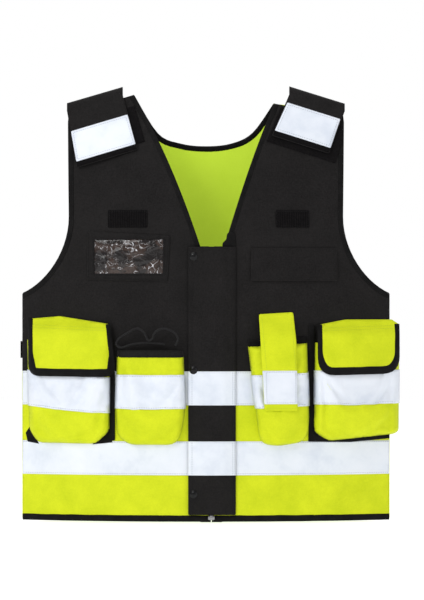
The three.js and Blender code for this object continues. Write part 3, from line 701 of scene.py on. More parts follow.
def gloss_finish():
    finish = Finish("stud_lacquer", Coat_Weight=0.15, Coat_Roughness=0.06, Specular_IOR_Level=0.15)
    wear = finish.noise(400, 4, 0.7)
    finish.look(finish.ramp(wear, (0.45, (0.002, 0.002, 0.0024)), (0.8, (0.009, 0.009, 0.0098))),
                finish.level(wear, 0.16, 0.3))
    return finish.bump((wear, 0.1, 0.0001))


def metal_finish():
    finish = Finish("zip_alloy", Metallic=0.95)
    brushed = finish.noise(900, 2, 0.5, stretch=(1, 1, 0.06))
    tone = finish.noise(500, 4, 0.7)
    finish.look(finish.ramp(tone, (0.35, (0.20, 0.20, 0.21)), (0.7, (0.42, 0.42, 0.43))),
                finish.level(brushed, 0.28, 0.5))
    return finish.bump((brushed, 0.15, 0.00008))


def thread_finish(name, dark, light):
    finish = Finish(name, Sheen_Weight=0.05, Roughness=0.75, Specular_IOR_Level=0.15)
    twist = finish.noise(2200, 2, 0.6)
    finish.look(finish.ramp(twist, (0.35, dark), (0.7, light)))
    return finish.bump((twist, 0.3, 0.0001))


def cord_finish():
    """Braided elastic: diagonal strands."""
    finish = Finish("braided_cord", Sheen_Weight=0.06, Sheen_Roughness=0.4, Specular_IOR_Level=0.25)
    tone = finish.noise(700, 3, 0.6)
    finish.look(finish.ramp(tone, (0.35, (0.0025, 0.0024, 0.0026)), (0.7, (0.012, 0.011, 0.012))),
                finish.level(tone, 0.6, 0.8))
    return finish.bump((finish.waves(0.0016, "DIAGONAL", 0.3), 0.5, 0.0003))


# The outer lime's small glow is painted light, standing in for the dye's fluorescence.
LIME = woven("lime_polyester", (0.48, 0.57, 0.008), (0.68, 0.745, 0.018), 0.0011, PAINT, 0.74,
             mottle=0.8, glow=(0.045, 0.052, 0.0), slubs=0.3)
# The inside's lime is raised and glows more strongly to lift the shade inside the vest: painted light.
LIME_INSIDE = woven("lime_inside_painted_glow", (0.50, 0.70, 0.03), (0.58, 0.78, 0.05), 0.0011, PAINT, 0.8,
                    sheen=0.03, glow=(0.19, 0.27, 0.018))
BLACK = woven("black_polyester", (0.0016, 0.0014, 0.0014), (0.0175, 0.0158, 0.0158), 0.0012, ASH, 0.82,
              mottle=0.7, slubs=0.65)
EDGE = binding_finish()
SILVER = reflective_finish()
PILE = pile_finish("loop_pile")
RIBBED_PILE = pile_finish("ribbed_pile", (0.0034, "X"))
HOOKS = pile_finish("hook_strip", (0.0016, "Y"))
VINYL = vinyl_finish()
STUD = gloss_finish()
METAL = metal_finish()
CORD = cord_finish()
THREADS = {
    "black": thread_finish("black_thread", (0.002, 0.002, 0.002), (0.009, 0.0085, 0.009)),
    "grey": thread_finish("grey_thread", (0.30, 0.33, 0.37), (0.48, 0.52, 0.56)),
    "lime": thread_finish("lime_thread", (0.42, 0.52, 0.02), (0.58, 0.68, 0.05)),
}

# ---- Panels ----------------------------------------------------------------------------------

HEM_IN = 1.5                     # the panels' raw edge, above the hem binding's fold
SEAM_X = HALF_WIDTH + 1.5
ARMHOLE = bezier((SEAM_X, ARMPIT_Z), (HALF_WIDTH - 37, ARMPIT_Z + 16), (ARMHOLE_X, 400), (ARMHOLE_X, 450))
ARMHOLE += resampled([(ARMHOLE_X, 450), (ARMHOLE_X + 2, 590)], 12)[1:]
SIDE_TOP = ARMPIT_Z + 1


def neck_line(shoulder, bend, bottom, count=16):
    made = []
    for k in range(count + 1):
        t = k / count
        made.append(tuple(
            shoulder[i] * (1 - t) ** 2 + 2 * bend[i] * t * (1 - t) + bottom[i] * t * t for i in (0, 1)))
    return made


V_NECK = {
    "right": neck_line((-108, 631), (-55, 545), (-9, V_BOTTOM)),
    "left": neck_line((102, 618), (68, 540), (28, V_BOTTOM)),
}
SHOULDER_TIP = {"right": (-203, 603), "left": (203, 600)}
ZIP_EDGE = {"right": ZIP_X - 4, "left": ZIP_X + 4}


def spline(points, count=5):
    """A smooth line through the points."""
    made = []
    ends = [points[0], *points, points[-1]]
    for i in range(len(points) - 1):
        p = [Vector(point) for point in ends[i:i + 4]]
        for k in range(count):
            t = k / count
            made.append(tuple(0.5 * (
                2 * p[1] + (p[2] - p[0]) * t + (2 * p[0] - 5 * p[1] + 4 * p[2] - p[3]) * t * t
                + (3 * p[1] - p[0] - 3 * p[2] + p[3]) * t ** 3)))
    return made + [tuple(points[-1])]


BACK_NECK = spline([(101, 619), (70, 576), (38, 560), (0, 556), (-38, 560), (-72, 575), (-107, 631)])


def front_outline(hand):
    side = HANDS[hand] * HALF_WIDTH
    arm = ARMHOLE if hand == "left" else mirrored(ARMHOLE)
    return [(ZIP_EDGE[hand], HEM_IN), (side, HEM_IN), (side, SIDE_TOP), *arm[1:], SHOULDER_TIP[hand],
            *V_NECK[hand], (ZIP_EDGE[hand], V_BOTTOM)]


def back_outline():
    return [(-HALF_WIDTH, HEM_IN), (HALF_WIDTH, HEM_IN), (HALF_WIDTH, SIDE_TOP), *ARMHOLE[1:],
            (203, shoulder_height(203)), *BACK_NECK, (-203, shoulder_height(203)),
            *mirrored(ARMHOLE)[:0:-1], (-HALF_WIDTH, SIDE_TOP)]


PANEL = 0.65                     # the panels' middle layer, from their inside face
FRONTS = {hand: Sheet(front_outline(hand), on_body(FRONT, PANEL), 4.6) for hand in HANDS}
BACK_SHEET = Sheet(back_outline(), on_body(BACK, PANEL), 5.0)
SLIT = (76, 183, 384, 394)
SLIT_OUTLINE = box_outline(*SLIT)


def cut_sheet(parent, outline, cell=4.6, lift=0.0, holes=()):
    """Cloth that lies on the parent sheet, with an outline of its own. lift is in mm or f(x, z)."""
    def place(x, z, more=0.0):
        return parent.place(x, z, (lift(x, z) if callable(lift) else lift) + more)
    return Sheet(outline, place, cell, holes)


TAPE_LIFT = 0.75
ROW_IN = 2.2                     # from a reflective tape's edge to its stitches
BINDING_ROW = 1.2                # from a binding's edge to its stitches


def tape_rows(sheet, ends, low, high):
    """The two rows of stitches that hold a level tape."""
    for z in (low + ROW_IN, high - ROW_IN):
        stitch(sheet, [(x, z) for x in ends], thread="grey", lift=TAPE_LIFT + 0.28)


for hand, sheet in FRONTS.items():
    outline = front_outline(hand)
    slit = [SLIT_OUTLINE] if hand == "left" else []
    lower = cut_sheet(sheet, banded(outline, (0, 0), (COLOUR_SPLIT, COLOUR_SPLIT)))
    upper = cut_sheet(sheet, banded(outline, (COLOUR_SPLIT, COLOUR_SPLIT), (700, 700)), holes=slit)
    cloth(f"front_{hand}_lower", lower, LIME, held="hung")
    cloth(f"front_{hand}_upper", upper, BLACK, held="hung")
    for level, (low, high) in STRIPES.items():
        band = banded(outline, (low, low), (high, high))
        tape = cut_sheet(sheet, band, 4.0, TAPE_LIFT)
        cloth(f"front_{hand}_tape_{level}", tape, SILVER, thick=0.35)
        tape_rows(sheet, sorted([ZIP_EDGE[hand], HANDS[hand] * (HALF_WIDTH - 0.5)]), low, high)

cloth("back_panel", BACK_SHEET, LIME, held="hung")
# The back panel's inside face, in the raised, glowing lime: painted light against the shade inside the vest.
lining = cut_sheet(BACK_SHEET, back_outline(), 6.0, -0.9)
cloth("back_lining", lining, LIME_INSIDE, thick=0.4, held="hung")
for level, (low, high) in STRIPES.items():
    tape = cut_sheet(BACK_SHEET, banded(back_outline(), (low, low), (high, high)), 4.5, TAPE_LIFT)
    cloth(f"back_tape_{level}", tape, SILVER, thick=0.35)
    tape_rows(BACK_SHEET, (-HALF_WIDTH + 0.5, HALF_WIDTH - 0.5), low, high)

# Bound edges
hem = Shape()
for sheet, left, right, seed in ((FRONTS["right"], -HALF_WIDTH, ZIP_EDGE["right"], 0.0),
                                 (FRONTS["left"], ZIP_EDGE["left"], HALF_WIDTH, 2),
                                 (BACK_SHEET, -HALF_WIDTH, HALF_WIDTH, 3)):
    bind_edge(hem, sheet, [(left, HEM_IN), (right, HEM_IN)], HEM - HEM_IN, seed=seed)
hem.piece("hem_binding", EDGE)
for hand, handed in HANDS.items():
    arm = ARMHOLE if handed > 0 else mirrored(ARMHOLE)[::-1]
    tip = SHOULDER_TIP[hand]
    arm = arm + [tip] if handed > 0 else [tip] + arm
    shape = Shape()
    bind_edge(shape, FRONTS[hand], arm, BINDING)
    bind_edge(shape, BACK_SHEET, arm, BINDING, thick=1.5, seed=handed)
    shape.piece(f"armhole_binding_{hand}", EDGE)
    for sheet in (FRONTS[hand], BACK_SHEET):
        stitch(sheet, shifted(resampled(arm, 6), BINDING - BINDING_ROW)[1:-1], lift=1.25)
    neck = Shape()
    line = V_NECK[hand][::-1] if handed < 0 else V_NECK[hand]
    bind_edge(neck, FRONTS[hand], line, 6.5, thick=0.9)
    neck.piece(f"neck_binding_{hand}", EDGE)
    stitch(FRONTS[hand], shifted(resampled(line, 6), 5.6)[1:-1], lift=1.1)
shape = Shape()
bind_edge(shape, BACK_SHEET, BACK_NECK, BINDING, thick=1.9)
shape.piece("neck_binding_back", EDGE)
stitch(BACK_SHEET, shifted(resampled(BACK_NECK, 6), BINDING - BINDING_ROW)[2:-2], lift=1.95)

# Side seams, from the hem to the armhole
SEAM_TURNS = np.arange(8) * math.pi / 4
for hand, handed in HANDS.items():
    for part, low, high, finish in (("lower", 4, COLOUR_SPLIT, LIME),
                                    ("upper", COLOUR_SPLIT, ARMPIT_Z, BLACK)):
        shape = Shape()
        rings, uvs = [], []
        for k in range(math.ceil((high - low) / 5) + 1):
            z = min(high, low + 5 * k)
            size = 1 + 0.12 * noise.noise(Vector((z / 11, handed, 0)))
            corners = [(math.cos(a) * 1.3 * size, math.sin(a) * 1.5 * size) for a in SEAM_TURNS]
            rings.append([world(handed * (HALF_WIDTH - 0.4) + dx, dy, z) for dx, dy in corners])
            uvs.append([(j * MM, z * MM) for j in range(8)])
        shape.tube(rings, uvs=uvs)
        shape.piece(f"side_seam_{hand}_{part}", finish)

# ---- Shoulder straps -------------------------------------------------------------------------

STRAP_THICK = 1.5
STRAP_ROUND = 12
LOOP_THICK = 1.4
STRAP_OFF = ON_PANEL + LOOP_THICK + 1
STRAP_BASE = 26
HOOK_STRIP = 8
PATCH_LONG = 46
PAD_START = 22                   # from the fold to the loop pads
FOLD = 19                        # cloth in a quarter turn of the strap's fold
STRAPS = {
    "right": {"x": -SHOULDER_X, "length": 86, "half": 43, "spread": 0.045, "tilt": math.radians(16.3),
              "lean": math.radians(12.9), "pad": (78, -0.85, 1.29)},
    "left": {"x": SHOULDER_X, "length": 68, "half": 43, "spread": 0.02, "tilt": math.radians(-17.3),
             "lean": math.radians(-21.7), "pad": (79, -1.09, 1.3)},
}
BLENDS = {}                      # where the cloth of each joint starts and ends its bend


def bend_below(body, x, y, top, reach):
    BLENDS[body] = ((x, y, HEM_LEVEL + top * MM), (x, y, HEM_LEVEL + top * MM - reach))


def strap_flat(strap, along, across):
    """X and Z of a point of the strap, at a distance below the fold and across it."""
    reach = across * (strap["half"] + strap["spread"] * along)
    x = strap["x"] + math.cos(strap["tilt"]) * reach + math.sin(strap["lean"]) * along
    return x, SHOULDER_Z + math.sin(strap["tilt"]) * reach - math.cos(strap["lean"]) * along


def strap_place(strap, seed):
    """Places strap cloth: x across it, z the distance along it, positive at the back."""
    def place(x, z, lift=0.0):
        along = max(0.0, abs(z) - FOLD)
        across = x / (strap["half"] + strap["spread"] * along)
        flat_x, flat_z = strap_flat(strap, along, across)
        wave = 0.8 * noise.noise(Vector((x / 30, z / 34, seed))) * smooth((abs(z) - 6) / 20)
        end = 1.6 * smooth((-z - strap["length"] - FOLD + 16) / 16)
        out = GAP + bow(flat_x, flat_z) + STRAP_OFF + STRAP_THICK / 2 + wave + end + lift
        if along > 0 or abs(z) >= FOLD:
            side = BACK if z > 0 else FRONT
            tuck = STRAP_OFF * smooth((z - FOLD - 8) / (STRAP_BASE - 8)) if z > 0 else 0
            return world(flat_x, side * (out - tuck), flat_z)
        turn = z / FOLD * math.pi / 2
        height = (STRAP_ROUND - STRAP_THICK / 2 + lift + wave) * math.cos(turn)
        return world(flat_x, out * math.sin(turn), flat_z + height)
    return place


for hand, strap in STRAPS.items():
    body = f"strap_{hand}"
    half, low = strap["half"], -FOLD - strap["length"]
    spread = strap["spread"] * strap["length"]
    outline = rounded([(-half - spread, low), (half + spread, low), (half, -FOLD), (half, FOLD + STRAP_BASE),
                       (-half, FOLD + STRAP_BASE), (-half, -FOLD)], 3)
    sheet = Sheet(outline, strap_place(strap, HANDS[hand] * 2.0), 4.0)
    strap["sheet"] = sheet
    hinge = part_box(f"strap_{hand}")[1].z - 0.006
    BLENDS[body] = tuple((HANDS[hand] * SHOULDER_X * MM, y, hinge) for y in (0.011, -0.011))
    cloth(f"strap_{hand}", sheet, BLACK, body, thick=1.0, held="laid")
    patch_low = low + HOOK_STRIP + GAP
    wide = half + spread - 1.2
    patch, row = (
        [(inset - wide, patch_low + inset), (wide - inset, patch_low + inset),
         (wide - 2 - inset, patch_low + PATCH_LONG - inset),
         (2 + inset - wide, patch_low + PATCH_LONG - inset)] for inset in (0, 3))
    tape = cut_sheet(sheet, rounded(patch, 1.5), 4.0, 0.85)
    cloth(f"strap_{hand}_patch", tape, SILVER, body, thick=0.4)
    stitch(sheet, row + row[:1], body, "grey", lift=1.2)
    strip = box_outline(-wide, wide, low + 0.8, low + HOOK_STRIP)
    hooks = cut_sheet(sheet, strip, 3.0, 0.9)
    cloth(f"strap_{hand}_hook", hooks, HOOKS, body, thick=0.6)
    for z in (FOLD + STRAP_BASE - 4, FOLD + STRAP_BASE - 12):
        stitch(sheet, [(-half + 2, z), (half - 2, z)], lift=0.7)
    end, outer, inner = strap["pad"]
    corners = [strap_flat(strap, a, b) for a, b in (
        (PAD_START, outer), (end, outer), (end, inner), (PAD_START, inner))]
    pad = cut_sheet(FRONTS[hand], cropped(front_outline(hand), corners), 4.0, 1.1)
    cloth(f"shoulder_loop_{hand}", pad, PILE, thick=1.2)

# ---- Zip -------------------------------------------------------------------------------------

def zip_point(x, z, offset):
    return world(x, -(GAP + bow(ZIP_X, 200) + offset), z)


TOOTH_PITCH = 2.6
TEETH = 148
for hand, handed in HANDS.items():
    left, right = sorted([ZIP_X + handed * 0.7, ZIP_X + handed * 16])
    tape = Sheet(box_outline(left, right, 0, 400), on_body(FRONT, -1.35), 5.0)
    cloth(f"zip_half_{hand}", tape, EDGE, thick=0.8)
    teeth = Shape()
    for k in range(TEETH):
        z = 12 + TOOTH_PITCH * (k + (0.5 if handed > 0 else 0))
        loft_box(teeth, zip_point(ZIP_X + handed * 1.1, z, 0.2), (3.0, 1.6, 2.6), 0.3)
    teeth.piece(f"zip_teeth_{hand}", STUD, slot="webbing")

# Blocks of each piece of the zip: x from the zip's middle, z and offset; width, height, depth; bevel
HARDWARE = {
    "zip_box": ("body", [((0, 6.5, 1.5), (10, 6.6, 3), 0.2), ((0, 9.2, 2.9), (4, 2, 0.8), 0.3)]),
    "zip_slider": ("zip_slider", [
        ((0, 391, 3.1), (9.4, 13.6, 1.2), 0.35), ((0, 391, -2.9), (9.4, 13.6, 1.2), 0.35),
        ((0, 394.5, 0.1), (0.6, 6.6, 6), 0.3)]),
    "zip_pull": ("zip_pull", [
        ((0, 370, 4.6), (6, 23, 1.1), 0.4), ((-2.2, 386, 4.6), (1.5, 15, 1.1), 0.4),
        ((2.2, 386, 4.6), (1.5, 15, 1.1), 0.4), ((0, 393, 4.6), (5, 1.7, 1.1), 0.4)]),
}
for name, (body, blocks) in HARDWARE.items():
    shape = Shape()
    for (x, z, offset), sizes, bevel in blocks:
        loft_box(shape, zip_point(ZIP_X + x, z, offset), sizes, bevel)
    shape.piece(name, METAL, body)

# The top of the zip's cloth tape, folded over the neck's edge
top = [(24, 405.5), (24.5, 411), (30, 416), (31, 424), (36, 429), (43, 426), (44, 405.5)]
cloth("zip_tape_end", Sheet(rounded(top, 2), on_body(FRONT, 2.3), 2.0), EDGE, thick=0.9)

# ---- Storm flap ------------------------------------------------------------------------------

def flap_inside(x):
    from_sewn = smooth((FLAP_SEWN_X - x) / 22)
    to_free = smooth((ZIP_X - 14 - x) / 18)
    return POCKET_BACK + (6.5 - POCKET_BACK) * from_sewn - 3.1 * to_free


def flap_offset(x, z):
    rolling = 0.5 * ripple(x, z, 21, 40, 45) * smooth((FLAP_SEWN_X - x) / 20)
    return flap_inside(x) + 0.6 + rolling


FLAP = Sheet(rounded(box_outline(FLAP_FREE_X, FLAP_SEWN_X, FLAP_LOW - 1.3, FLAP_HIGH), 2),
             on_body(FRONT, flap_offset), 3.6)
BLENDS["storm_flap"] = ((FLAP_SEWN_X * MM + 0.001, 0, 0), (FLAP_SEWN_X * MM - 0.011, 0, 0))
cloth("storm_flap", FLAP, BLACK, "storm_flap", thick=1.0, held="laid")
for level, (low, high) in STRIPES.items():
    tape = cut_sheet(FLAP, box_outline(FLAP_FREE_X, FLAP_SEWN_X, low, high), 3.6, 0.85)
    cloth(f"storm_flap_tape_{level}", tape, SILVER, "storm_flap", thick=0.4)
levels = [FLAP_LOW, *STRIPES["lower"], *STRIPES["upper"], FLAP_HIGH]
for x in (FLAP_FREE_X + 5.8, FLAP_SEWN_X - 4.8, FLAP_SEWN_X - 1.4):
    for k, (low, high) in enumerate(zip(levels, levels[1:])):
        thread, lift = ("grey", 1.2) if k % 2 else ("black", 0.65)
        stitch(FLAP, [(x, low + 1), (x, high - 1)], "storm_flap", thread, lift)
stitch(FLAP, [(FLAP_FREE_X + 4, FLAP_HIGH - 4), (FLAP_SEWN_X - 4, FLAP_HIGH - 4)], "storm_flap", lift=0.65)


def circle(centre, side, other, radius, count):
    turns = (2 * math.pi * k / count for k in range(count))
    return [centre + (side * math.cos(a) + other * math.sin(a)) * radius * MM for a in turns]


def turned(name, profile, sheet, height, lift, material, body="body"):
    """A turned piece on a sheet: its profile is (radius, height) in mm from the lift given."""
    base = sheet.place(STUD_X, height, lift)
    normal = (sheet.place(STUD_X, height, 1.6) - base).normalized()
    side = normal.cross(Vector((0, 0, 1))).normalized()
    other = normal.cross(side).normalized()
    shape = Shape()
    shape.tube([circle(base + normal * up * MM, side, other, radius, 32) for radius, up in profile])
    shape.piece(name, material, body)


STUD_X = -18
STUD_HEIGHTS = {"top": 391, "middle": 224, "bottom": 41}
DOME = [(5.6, -0.2), (6.1, 0), (6.3, 0.35), (6.1, 0.8), (5.5, 1.2), (5.25, 1.15), (5.0, 1.3), (4.4, 1.8),
        (3.4, 2.2), (2.2, 2.45), (1.0, 2.55), (0.15, 2.58)]
SOCKET = [(6.0, -0.3), (6.2, 0.1), (5.9, 0.5), (4.6, 0.6), (3.4, 0.7), (3.1, 1.4), (2.4, 1.7), (0.2, 1.75)]
for place, height in STUD_HEIGHTS.items():
    turned(f"snap_cap_{place}", DOME, FLAP, height, 0.6, STUD, "storm_flap rigid")
    lift = 0.4 if place == "middle" else 0.35
    turned(f"snap_socket_{place}", SOCKET, FRONTS["right"], height, lift, METAL)

# ---- Chest -----------------------------------------------------------------------------------

for hand, (left, right) in {"right": (-144, -86), "left": (103, 152)}.items():
    outline = rounded(box_outline(left, right, 434, 459), 1.5)

    def lifted(x, z, rim=outline):
        return 0.9 + 0.9 * smooth(edge_distance(rim, x, z) / 2.5)

    loop = cut_sheet(FRONTS[hand], outline, 2.4, lifted)
    cloth(f"chest_loop_{hand}", loop, RIBBED_PILE, thick=1.2)
    stitch(FRONTS[hand], box_outline(left + 2, right - 2, 436, 457) + [(left + 2, 436)], lift=2.0)

CARD_POCKET = rounded([(-176, 356), (-56, 354), (-52, 422), (-174, 429)], 3)
CARD_WINDOW = rounded(box_outline(-164, -63, 366, 416), 2)


def card_lift(x, z):
    return 0.9 + 1.5 * smooth(edge_distance(CARD_POCKET, x, z) / 26)


def vinyl_lift(x, z):
    near = smooth(edge_distance(CARD_WINDOW, x, z) / 6)
    folds = crease(x, z, 31, 0.5, 60, 17) + 0.7 * crease(x, z, 33, -0.9, 50, 15)
    return card_lift(x, z) - 0.35 + near * (0.5 * ripple(x, z, 32, 20, 16) + 1.1 * folds)


card = cut_sheet(FRONTS["right"], CARD_POCKET, 3.4, card_lift, [CARD_WINDOW])
cloth("id_pocket", card, BLACK, thick=0.8, held="laid")
window = cut_sheet(FRONTS["right"], box_outline(-165, -62, 365, 417), 2.0, vinyl_lift)
cloth("id_window", window, VINYL, thick=0.3)
panel = FRONTS["right"]
stitch(panel, [(-173, 425), (-173, 359), (-59, 357), (-55, 419)], lift=1.6)
stitch(panel, [(-166, 418), (-166, 364), (-61, 364), (-61, 418), (-166, 418)], lift=2.55)


def bag_behind(x, z):
    deep = edge_distance(CHEST_BAG, x, z)
    return -0.9 - 8.5 * math.sqrt(1 - (1 - clamp(deep / 14)) ** 2) - 0.8 * ripple(x, z, 41, 25, 30)


CHEST_BAG = rounded(box_outline(SLIT[0] - 4, SLIT[1] + 4, 290, SLIT[3] + 4), 8)
bag = Sheet(CHEST_BAG, on_body(FRONT, bag_behind), 4.4)
cloth("chest_pocket", bag, BLACK, thick=0.7, held="hung")
welt = Shape()
slit_line = SLIT_OUTLINE[:1] + SLIT_OUTLINE[::-1]
bind_edge(welt, FRONTS["left"], slit_line, 2.2, thick=0.45)
welt.piece("chest_slit_welt", EDGE)

CHEST_FLAP = box_outline(66, 193, 355, 404)


def chest_flap_lift(x, z):
    falling = smooth((404 - z) / 40)
    return 1.15 + 1.3 * falling + 0.5 * falling * (1 + ripple(x, z, 44, 34, 40))


CHEST = cut_sheet(FRONTS["left"], rounded(CHEST_FLAP, 2), 3.6, chest_flap_lift)
bend_below("chest_flap", 0.13, -0.06, 404, 0.009)
cloth("chest_flap", CHEST, BLACK, "chest_flap", thick=1.0, held="laid")
for line in ([(70, 358.5), (189, 358.5)], [(69.5, 400), (69.5, 358.5)],
             [(189.5, 358.5), (189.5, 400)], [(68, 400.5), (191, 400.5)]):
    stitch(CHEST, line, "chest_flap", lift=0.65)

# ---- Pockets ---------------------------------------------------------------------------------

POCKET_EDGE = 6                  # how far a bag stands out at its seam
CREASE = 5                       # width of a bag's standing folds
POCKETS = {
    "right_cargo": {
        "outline": [(-262, 135), (-249, 116), (-163, 115), (-143, 133), (-142, 268), (-265, 268)],
        "deep": 28, "mouth": 0.5, "tape": (224, 213, 53), "flap_low": 214, "soft": 9,
        "folds": [((-141, 222), (-154, 164), 3.0), ((-154, 168), (-166, 118), 2.6)]},
    "tool_pocket": {
        "outline": [(-133, 167), (-131, 130), (-121, 119), (-109, 114), (-50, 114), (-39, 122), (-34, 141),
                    (-30.5, 166), (-33, 244), (-131, 244)],
        "deep": 20, "mouth": 0.6, "tape": (217, 217, 50), "flap_low": 240, "soft": 8,
        "folds": [((-126, 150), (-122, 236), 3.4), ((-110, 160), (-108, 228), -1.8)]},
    "radio_pocket": {
        "outline": [(79, 123), (86, 115), (106, 112), (139, 117), (150, 127), (152.5, 150), (149, 264),
                    (62, 259)],
        "deep": 22, "mouth": 0.6, "tape": (216, 220, 49), "flap_low": 255, "soft": 8},
    "left_cargo": {
        "outline": [(159, 133), (181, 119), (277, 128), (286, 132), (287, 264), (161, 264)],
        "deep": 28, "mouth": 0.5, "tape": (223, 224, 50), "flap_low": 216, "soft": 9,
        "folds": [((176, 128), (174, 218), 2.6)]},
}


def bag_face(pocket):
    """How far a bag's face stands out from the panel, before its edge is turned under."""
    left, right, low, high = span(pocket["outline"])
    middle, half = (left + right) / 2, (right - left) / 2
    ramp = (high - low) * 0.4
    deep, mouth = pocket["deep"], pocket["mouth"]

    def face(x, z):
        across = math.sqrt(1 - clamp(abs(x - middle) / half) ** 3)
        rising = math.sin(math.pi / 2 * clamp((z - low) / ramp))
        closing = mouth + (1 - mouth) * math.sin(math.pi / 2 * clamp((high - z) / ramp))
        return POCKET_BACK + POCKET_EDGE + (deep - POCKET_EDGE) * across * rising * closing
    return face


def seam_distance(pocket, x, z):
    """Distance from a bag's seam, which leaves out its open mouth."""
    outline = pocket["outline"]
    return edge_distance(outline, x, z, skip_top=span(outline)[3] - 5)


def bag_offset(pocket):
    face = bag_face(pocket)
    folds = pocket.get("folds", ())

    def offset(x, z):
        inward = clamp(seam_distance(pocket, x, z) / pocket["soft"])
        base = CLOTH - 0.1
        sunk = sum(deep * near_line(x, z, start, end, CREASE) for start, end, deep in folds)
        return base + (face(x, z) - 0.6 - sunk - base) * math.sqrt(1 - (1 - inward) ** 2)
    return offset


MOST_OUT = 3.5 * MM              # how far the simulation may move the cloth
MOST_IN = 5.5 * MM


def settle(pockets, frames=18):
    """Lets the bags' cloth crease: a simulation, held at the seams, of cloth cut a little too large."""
    points, faces, held = [], [], []
    for pocket in pockets:
        sheet = pocket["sheet"]
        first = len(points)
        points += [tuple(p) for p in sheet.points]
        faces += [tuple(i + first for i in f) for f in sheet.faces]
        high = span(pocket["outline"])[3]
        for x, z in sheet.flat:
            sewn = seam_distance(pocket, x, z) < 2
            held.append(1.0 if sewn else 0.6 * smooth((z - high + 14) / 10))
    mesh = bpy.data.meshes.new("bag_cloth")
    mesh.from_pydata(points, [], faces)
    work = bpy.data.objects.new("bag_cloth", mesh)
    bpy.context.scene.collection.objects.link(work)
    group = work.vertex_groups.new(name="held")
    for i, weight in enumerate(held):
        group.add([i], weight, "REPLACE")
    cloth_mod = work.modifiers.new("cloth", "CLOTH")
    settings = cloth_mod.settings
    settings.quality = 8
    settings.mass = 0.25
    settings.tension_stiffness = settings.compression_stiffness = 18
    settings.shear_stiffness = 6
    settings.bending_stiffness = 0.6
    settings.vertex_group_mass = "held"
    settings.pin_stiffness = 1.0
    settings.shrink_min = -0.035
    settings.use_pressure = True
    settings.uniform_pressure_force = 0.35
    settings.effector_weights.gravity = 0.5
    scene = bpy.context.scene
    for frame_number in range(1, frames + 1):
        scene.frame_set(frame_number)
    settled = work.evaluated_get(bpy.context.evaluated_depsgraph_get())
    moved = [v.co.copy() for v in settled.data.vertices]
    bpy.data.objects.remove(work)
    scene.frame_set(1)
    k = 0
    for pocket in pockets:
        sheet = pocket["sheet"]
        for i, (x, z) in enumerate(sheet.flat):
            rest = Vector(sheet.points[i])
            shift = moved[k] - rest
            k += 1
            most = MOST_IN if shift.y > 0 else MOST_OUT
            under = smooth((z - pocket["flap_low"] + 16) / 12)
            most *= 1 - (0.75 if shift.y < 0 else 0.4) * under
            if shift.length > most:
                shift *= most / shift.length
            shift.x *= 0.6
            shift.z *= 0.6
            sheet.points[i] = rest + shift
        sheet.index()


def stands(sheet, x, z):
    """Offset from the panel's inside face of a point of a sheet at the front."""
    point = sheet.place(x, z)
    return -point.y / MM - GAP - bow(x, z) - wrinkle(FRONT, x, z)


for name, pocket in POCKETS.items():
    pocket["outline"] = rounded(pocket["outline"], 7, 2, below=180)
    pocket["face"] = bag_face(pocket)
    pocket["sheet"] = Sheet(pocket["outline"], on_body(FRONT, bag_offset(pocket)), 3.3)
settle(list(POCKETS.values()))

for name, pocket in POCKETS.items():
    sheet, outline = pocket["sheet"], pocket["outline"]
    left, right, _, _ = span(outline)
    node = f"{name}_bag" if name.endswith("cargo") else name
    cloth(node, sheet, LIME, thick=0.8, held="gathered")
    top_left, top_right, wide = pocket["tape"]
    ring = [(x + (0.5 if x < (left + right) / 2 else -0.5), z) for x, z in outline]
    band = banded(ring, (top_left - wide, top_right - wide), (top_left, top_right))

    def tape_lift(x, z, outline=outline):
        return 1.2 + 0.7 * (1 - smooth(edge_distance(outline, x, z) / 11))

    tape = cut_sheet(sheet, band, 3.3, tape_lift)
    cloth(f"{name}_tape", tape, SILVER, thick=0.4)
    slant = (top_right - top_left) / (right - left)
    for down in (ROW_IN, wide - ROW_IN):
        line = [(left + 3, top_left - down + slant * 3), (right - 3, top_right - down - slant * 3)]
        stitch(sheet, line, thread="grey", lift=1.5)

# The drawcord's channel and the radio pocket's bound mouth
TOOL, RADIO = POCKETS["tool_pocket"], POCKETS["radio_pocket"]


def capped(pocket, over):
    """Offset of a tape sewn over the mouth of a pocket."""
    high = span(pocket["outline"])[3]

    def offset(x, z):
        here = stands(pocket["sheet"], x, min(z, high - 0.5))
        return here + over * (1 + 0.25 * ripple(x, z, 51, 12, 30)) + 0.25 * math.sin(x * 0.55)
    return offset


channel = Sheet(rounded([(-131, 242.5), (-33, 242.5), (-34, 253), (-130, 253)], 2),
                on_body(FRONT, capped(TOOL, 1.1)), 2.6)
cloth("tool_pocket_channel", channel, BLACK, thick=1.2)
stitch(channel, [(-129, 244), (-35, 244)], lift=0.9)
stitch(channel, [(-128, 251.6), (-36, 251.6)], lift=0.9)
mouth = Sheet(rounded([(62, 257.8), (149, 263), (149, 274), (61, 268.5)], 2.5),
              on_body(FRONT, capped(RADIO, 0.7)), 2.6)
cloth("radio_pocket_binding", mouth, EDGE, thick=1.2)
stitch(mouth, [(64, 259.6), (147, 264.8)], lift=0.9)

